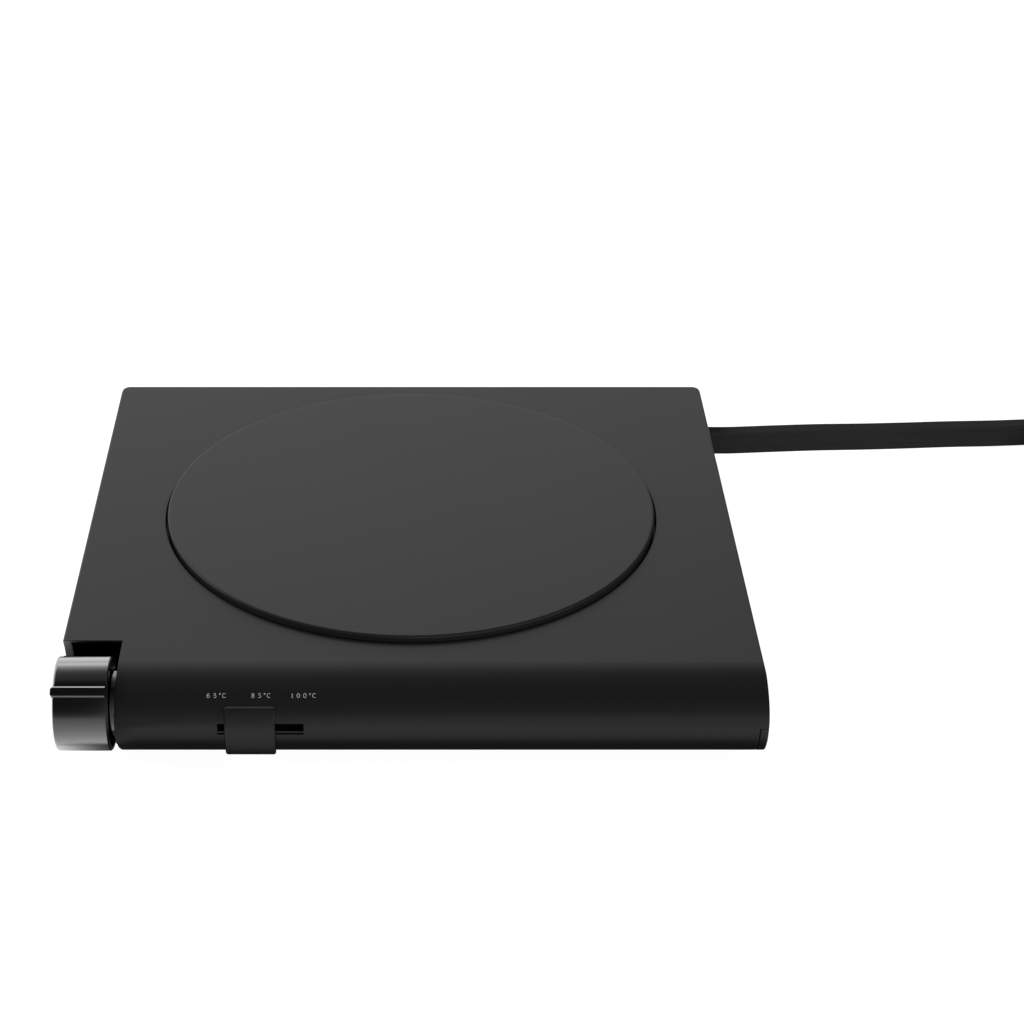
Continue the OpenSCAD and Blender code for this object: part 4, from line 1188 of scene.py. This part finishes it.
@dataclass
class TemperatureSelector(Assembly):
    """Slider cap and the marks printed above its slot, stroke by stroke.

    Attributes:
        marks: Text of each mark and the middle of its first letter along X.
        letter: Height of a letter from stroke to stroke.
        paces: Distance of the degree sign and of the unit from what is before.
        digit_pace: Distance from digit to digit.
        mark_height: Height of the marks' middle above the table.
        stroke: Radius of a stroke.
        sunk: Depth of a stroke's middle line in the shell.
    """

    marks: tuple[tuple[str, float], ...] = (("65°C", -36.76 * MM),
                                            ("85°C", -28.65 * MM),
                                            ("100°C", -21.61 * MM))
    letter: float = 0.83 * MM
    paces: tuple[tuple[str, float], ...] = (("°", 0.92 * MM), ("C", 0.8 * MM))
    digit_pace: float = 1.19 * MM
    mark_height: float = 15.75 * MM
    stroke: float = 0.085 * MM
    sunk: float = 0.068 * MM

    def build(self) -> None:
        """Makes and dresses the pieces."""
        nose = Nose()
        SliderCap().build(nose)
        paths = [path for text, place in self.marks
                 for path in self._mark(nose, text, place)]
        marks = self.beading.make("temperature_marks", paths, self.stroke, 8,
                                  "natural_plastic", home("top_shell")[1])
        dress(marks, PAD_PRINT.material())

    def _mark(self, nose: Nose, text: str, place: float) -> list[list[Point]]:
        """Paths of one mark's strokes on the nose.

        Args:
            nose: The profile that carries them.
            text: What it says.
            place: Middle of its first letter along X.

        Returns:
            The paths.
        """
        middle = nose.angle_over(self.mark_height)
        pace = nose.pace(middle)
        paths = []
        for i, letter in enumerate(text):
            if i:
                place += dict(self.paces).get(letter, self.digit_pace)
            paths += [[nose.point(place + x * self.letter,
                                  middle + y * self.letter / pace, -self.sunk)
                       for x, y in stroke] for stroke in STROKES[letter]]
        return paths


# ------------------------------------------------------------------------ lead


@dataclass
class MainsLead(Assembly):
    """The flat two-core lead, from its exit through a coil to the plug.

    Attributes:
        height: Width of the flat lead, which stands on edge.
        thickness: Its thickness.
        exit: Where it leaves the base.
        length: Its free length; not used.
        route: Points from the exit to the coil, counted from the exit across
            the table and from the table upwards, in millimetres.
        coil: Middle of the coil.
        tracks: Radii of the coil's turns, outermost first.
        layers: Height of the middle of each layer.
        plug_route: Points from the coil to the plug, counted from the coil.
        plug_middle: Middle of the plug along X.
        plug_back: Rear end of the plug's shell along Y.
        rib: Radius of a grip rib.
        ribs: Number of ribs at each side.
        rib_run: How far along X the ribs begin, and what they cover along X
            and Y, in millimetres.
        rib_span: Height of a rib's lower and upper end.
        coil_step: Greatest angle from point to point round the coil, in degrees.
        step: Greatest distance from point to point of the middle line.
    """

    height: float = 5.3 * MM
    thickness: float = 3.0 * MM
    exit: Point = (65 * MM, 49.3 * MM, 10.6 * MM)
    length: float = 1.5
    route: tuple[Point, ...] = (
        (0, 0, 10.6), (1, 0, 10.6), (6, 0, 10.6), (16, 1.5, 10.2), (26, 4, 9.2),
        (36.5, 7.5, 7.5), (47, 11, 5.9), (58, 14.5, 4.4), (69, 17, 3.3),
        (79, 18.5, 2.9), (90, 19.5, 2.9), (101, 19, 3.1), (111, 18, 3.2))
    coil: Pair = (180 * MM, 31.8 * MM)
    tracks: tuple[float, ...] = (34.95, 31.65, 28.35, 25.05)
    layers: Pair = (3.2, 8.6)
    plug_route: tuple[Point, ...] = (
        (34.8, -6, 7.6), (33.8, -12, 6.6), (32.4, -18, 6.5), (31.2, -24, 6.9),
        (31, -28, 7), (31, -29, 7), (31, -30, 7))
    plug_middle: float = 211 * MM
    plug_back: float = -18.2 * MM
    rib: float = 0.55 * MM
    ribs: int = 5
    rib_run: Point = (5, 11, 17)
    rib_span: Pair = (3.4 * MM, 10.6 * MM)
    coil_step: float = 7.5
    step: float = 2.6 * MM

    def _on_coil(self, angle: float, radius: float, height: float) -> Vector:
        """A point of the coil.

        Args:
            angle: Its angle round the coil in degrees.
            radius: Its distance from the coil's middle in millimetres.
            height: Its height in millimetres.

        Returns:
            The point in metres.
        """
        a = math.radians(angle)
        return Vector((self.coil[0] + radius * MM * math.cos(a),
                       self.coil[1] + radius * MM * math.sin(a), height * MM))

    def _coil_points(self) -> list[Vector]:
        """Clockwise turns in two layers, with short steps from track to track.

        Returns:
            Points in metres.
        """
        outer, second, third, inner = self.tracks
        low, high = self.layers
        turns = [(80, -230, outer, low), (-270, -590, second, low),
                 (-630, -950, third, low), (-990, -1265, inner, low),
                 (-1310, -1585, inner, high), (-1625, -1945, third, high),
                 (-1985, -2305, second, high), (-2345, -2520, outer, high)]
        stops = [(angle, radius, height) for first, last, radius, height in turns
                 for angle in (first, last)]
        points: list[Vector] = []
        for (a0, r0, z0), (a1, r1, z1) in zip(stops, stops[1:]):
            count = max(1, round((a0 - a1) / self.coil_step))
            for share in (i / count for i in range(count)):
                ease = share * share * (3 - 2 * share)
                points.append(self._on_coil(a0 + (a1 - a0) * share, r0 + (r1 - r0) * ease,
                                            z0 + (z1 - z0) * ease))
        return [*points, self._on_coil(*stops[-1])]

    def path(self) -> list[Vector]:
        """The lead's middle line as one smooth curve.

        Returns:
            Points in metres, a few millimetres apart.
        """
        start = Vector((self.exit[0], self.exit[1], 0.0))
        ring = Vector((self.coil[0], self.coil[1], 0.0))
        knots = [start + Vector(p) * MM for p in self.route]
        knots += self._coil_points()
        knots += [ring + Vector(p) * MM for p in self.plug_route]
        points: list[Vector] = []
        for i in range(len(knots) - 1):
            a, b = knots[max(i - 1, 0)], knots[i]
            c, d = knots[i + 1], knots[min(i + 2, len(knots) - 1)]
            steps = max(1, round((c - b).length / self.step))
            for k in range(steps):
                u = k / steps
                points.append(b + 0.5 * (u * (c - a) + u * u * (2 * a - 5 * b + 4 * c - d)
                                         + u ** 3 * (3 * b - a - 3 * c + d)))
        points.append(knots[-1])
        return points

    def _section(self) -> list[Pair]:
        """Outline of the flat lead: eased corners and a shallow line at each edge.

        Returns:
            Sideways and upward places, anticlockwise.
        """
        x, y, ease = self.thickness / 2, self.height / 2, 0.16 * MM
        right = arc((x - ease, -y + ease), (ease, ease), -90, 0, 3)
        right += [(x, -y + 1.2 * MM), (x - 0.1 * MM, -y + 1.35 * MM), (x, -y + 1.5 * MM),
                  (x, y - 1.5 * MM), (x - 0.1 * MM, y - 1.35 * MM), (x, y - 1.2 * MM)]
        right += arc((x - ease, y - ease), (ease, ease), 0, 90, 3)
        return right + [(-a, b) for a, b in reversed(right)]

    def _rib_paths(self) -> list[list[Point]]:
        """Upright lines at equal steps along both slanted sides of the plug.

        Returns:
            Two points for each line.
        """
        start, run_x, run_y = self.rib_run
        paths = []
        for side, i in product((-1, 1), range(1, self.ribs + 1)):
            share = i / (self.ribs + 1)
            x = self.plug_middle + side * (start + run_x * share) * MM
            y = self.plug_back - run_y * share * MM
            paths.append([(x, y, height) for height in self.rib_span])
        return paths

    def build(self) -> None:
        """Makes the lead as one swept tube, with its ties and plug."""
        path = self.path()
        section = self._section()
        sides = len(section)
        points: list[Vector] = []
        travelled = [0.0]
        for i, here in enumerate(path):
            ahead = (path[min(i + 1, len(path) - 1)] - path[max(i - 1, 0)]).normalized()
            left = Vector((0, 0, 1)).cross(ahead).normalized()
            up = ahead.cross(left)
            points += [here + left * s + up * t for s, t in section]
            if i:
                travelled.append(travelled[-1] + (here - path[i - 1]).length)
        faces = [(i * sides + j, (i + 1) * sides + j, (i + 1) * sides + (j + 1) % sides,
                  i * sides + (j + 1) % sides)
                 for i in range(len(path) - 1) for j in range(sides)]
        faces += [tuple(range(sides)),
                  tuple(range(len(points) - 1, len(points) - 1 - sides, -1))]
        lead = new_piece("mains_lead", points, faces)
        tidy_normals(lead, 28.0)
        LOG.info("lead: %.3f m along its middle", travelled[-1])
        place_piece(lead, "black_rubber", "base")
        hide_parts("power_cord", "cord_coil", "plug_lead")
        ties = skinned("cord_ties", Ease(0.1 * MM))
        plug = skinned("plug_body", Ease(0.5 * MM))
        pins = skinned("plug_pins", Ease(0.2 * MM))
        ribs = self.beading.make("plug_ribs", self._rib_paths(), self.rib, 12,
                                 *home("plug_body"))


# ---------------------------------------------------------------------- studio


@dataclass
class Studio:
    """Camera, floor, surroundings and lamps.

    Attributes:
        lens: Focal length of the camera in millimetres.
        shift: Sideways shift of its picture.
        camera_place: Where it stands.
        camera_pitch: Its tilt from straight down, in degrees.
        backdrop: Strength of the bright backdrop.
        room: Strength of the light from everywhere.
        floor_size: Half of the floor's side.
        floor_colour: Grey level of the floor.
        floor_white: Light that it adds for the camera.
        base: Half of the base's width and depth.
        lamps: Name, place, side and watts of each lamp.
    """

    lens: float = 81.52
    shift: float = 0.098
    camera_place: Point = (0.14 * MM, -406.0 * MM, 254.8 * MM)
    camera_pitch: float = 60.02
    backdrop: float = 0.72
    room: float = 0.009
    floor_size: float = 6.0
    floor_colour: float = 0.24
    floor_white: float = 0.95
    base: Pair = (65 * MM, 61.5 * MM)
    lamps: tuple[tuple[str, Point, float, float], ...] = (
        ("left", (-1.6, 0.35, 1.3), 1.2, 36.0), ("right", (1.9, -0.3, 1.4), 1.2, 30.0),
        ("fill", (0.2, -1.7, 0.4), 0.7, 18.0))

    def camera(self) -> None:
        """Sets up the camera."""
        data = bpy.data.cameras.new("camera")
        data.lens = self.lens
        data.sensor_width = 36.0
        data.shift_x = self.shift
        data.clip_start = 0.01
        camera = add_object("camera", data)
        camera.location = self.camera_place
        camera.rotation_euler = (math.radians(self.camera_pitch), 0.0, 0.0)
        bpy.context.scene.camera = camera

    @staticmethod
    def _rays(graph: Graph) -> list[Value]:
        """1 for a ray of the camera, and 1 for a mirrored ray."""
        path = graph.node("ShaderNodeLightPath")
        return [graph.value(path, f"Is {kind} Ray") for kind in ("Camera", "Glossy")]

    def world(self) -> None:
        """White to the camera; a bright backdrop low behind, dark overhead."""
        world = bpy.data.worlds.new("studio")
        world.use_nodes = True
        bpy.context.scene.world = world
        graph = Graph(world.node_tree)
        side, back, up = graph.split(graph.node("ShaderNodeTexCoord").outputs["Generated"])
        past_knob = ((side + 0.113) * 120.0).clamp()
        tilt = (side - 0.04) * 0.6 * ((up - 0.55) * 5.0).clamp() * past_knob
        rise = graph.ramp(
            up + tilt, (0.0, 1.3), (0.25, 1.15), (0.44, 0.87), (0.5, 0.91), (0.59, 1.13),
            (0.7, 0.58), (0.77, 0.33), (0.88, 0.09), (0.95, 0.045), (1.0, 0.03))
        spread = graph.ramp(
            side * 0.5 + 0.5, (0.0, 0.9), (0.4, 1.0), (0.5, 0.92), (0.595, 0.76),
            (0.66, 0.5), (0.73, 0.25), (0.82, 0.06))
        table = graph.ramp(up, (0.0, 0.42), (0.26, 0.33), (0.59, 0.15), (0.81, 0.07),
                           (1.0, 0.0))
        behind = (back * 5.0 + 0.5).clamp()
        front = (back * -4.0).clamp()
        low = 0.05 * (1.0 - up.clamp()) ** 8
        seen, glossy = self._rays(graph)
        level = (rise * spread * behind * self.backdrop
                 + (table * past_knob + low) * front * glossy + self.room)
        shade = graph.node("ShaderNodeBackground", {}, {
            "Color": (*grey(1.0), 1.0), "Strength": level * (1.0 - seen) + seen})
        graph.node("ShaderNodeOutputWorld", {}, {0: shade})

    def floor(self) -> None:
        """A pale floor that keeps the object's shadow for the camera; mirrored rays see a
        painted pool of light round the base, with painted shade under it.
        """
        size = self.floor_size
        floor = new_piece("floor", [(-size, -size, 0), (size, -size, 0),
                                    (size, size, 0), (-size, size, 0)], [(0, 1, 2, 3)])
        material = bpy.data.materials.new("floor")
        material.use_nodes = True
        material.cycles.emission_sampling = "NONE"
        graph = Graph(material.node_tree)
        camera, glossy = self._rays(graph)
        across, along, _ = graph.split(graph.node("ShaderNodeTexCoord").outputs["Object"])
        # Mirrored rays see painted light instead of the lit floor: a pool of light whose
        # level falls with distance from the base, and painted shade under the base.
        beyond = [abs(at) - half for at, half in zip((across, along), self.base)]
        far = (beyond[0].clamp(0, 9) ** 2 + beyond[1].clamp(0, 9) ** 2) ** 0.5
        share = far / (far + 30 * MM)
        painted_light_by_knob = graph.ramp(
            share, (0.0, 0.05), (0.02, 0.3), (0.06, 0.46), (0.21, 0.3), (0.333, 0.22),
            (0.5, 0.17), (0.6, 0.145), (0.77, 0.12), (0.87, 0.1), (1.0, 0.06))
        painted_light_by_nose = graph.ramp(
            share, (0.0, 0.02), (0.035, 0.05), (0.09, 0.2), (0.16, 0.4), (0.24, 0.5),
            (0.33, 0.55), (0.57, 0.48), (1.0, 0.43))
        # Under the knob the painted light grows towards its left end; under the nose it stays
        # painted shade.
        below = ((across + 54 * MM) * (-1000 / 11)).clamp() ** 2 * 0.75 + 0.05
        painted_light_by_knob = below + (painted_light_by_knob - below) * (beyond[1] * 250.0 + 0.4).clamp()
        beside = ((across + 55 * MM) * 250.0).clamp()
        painted_light_pool = painted_light_by_knob + (painted_light_by_nose - painted_light_by_knob) * beside
        lit = graph.node("ShaderNodeBsdfDiffuse", {}, {
            "Color": (*grey(self.floor_colour), 1.0)})
        # Glow for the camera, and the painted pool of light and shade that mirrored rays see.
        glow, painted_reflection = (graph.node("ShaderNodeEmission", {}, {
            "Color": (*grey(1.0), 1.0), "Strength": level})
            for level in (camera * self.floor_white, painted_light_pool))
        both = graph.node("ShaderNodeAddShader", {}, {0: lit, 1: glow})
        split = graph.node("ShaderNodeMixShader", {}, {0: glossy, 1: both, 2: painted_reflection})
        graph.node("ShaderNodeOutputMaterial", {}, {0: split})
        dress(floor, material)

    def light(self) -> None:
        """Adds the soft square lamps, which shiny surfaces don't mirror."""
        for name, place, size, power in self.lamps:
            data = bpy.data.lights.new(name, "AREA")
            data.shape = "SQUARE"
            data.size = size
            data.energy = power
            lamp = add_object(name, data)
            lamp.location = place
            lamp.visible_glossy = False
            lamp.rotation_mode = "QUATERNION"
            lamp.rotation_quaternion = (-Vector(place)).to_track_quat("-Z", "Y")

    def build(self) -> None:
        """Sets up floor, surroundings and lamps."""
        bpy.context.scene.view_settings.view_transform = "Standard"
        self.world()
        self.floor()
        self.light()


def dress_frame() -> None:
    """Gives every CAD node that still shows the finish of its slot."""
    for part in frame["record"]["subparts"]:
        dress(frame["nodes"][part["node"]], FINISHES[part["material_slot"]].material())


def main() -> None:
    """Builds the model in order and reports each piece."""
    logging.basicConfig(level=logging.INFO, format="%(name)s: %(message)s")
    studio = Studio()
    studio.camera()
    beading, turned = Beading(), TurnedParts()
    for assembly in (MainsLead, Housing, WarmingPlate, PowerKnob, TemperatureSelector):
        assembly(turned, beading).build()
    skinned("cord_gland", Ease(0.1 * MM))
    dress_frame()
    studio.build()
    LOG.info("done")


if __name__ == "__main__":
    main()
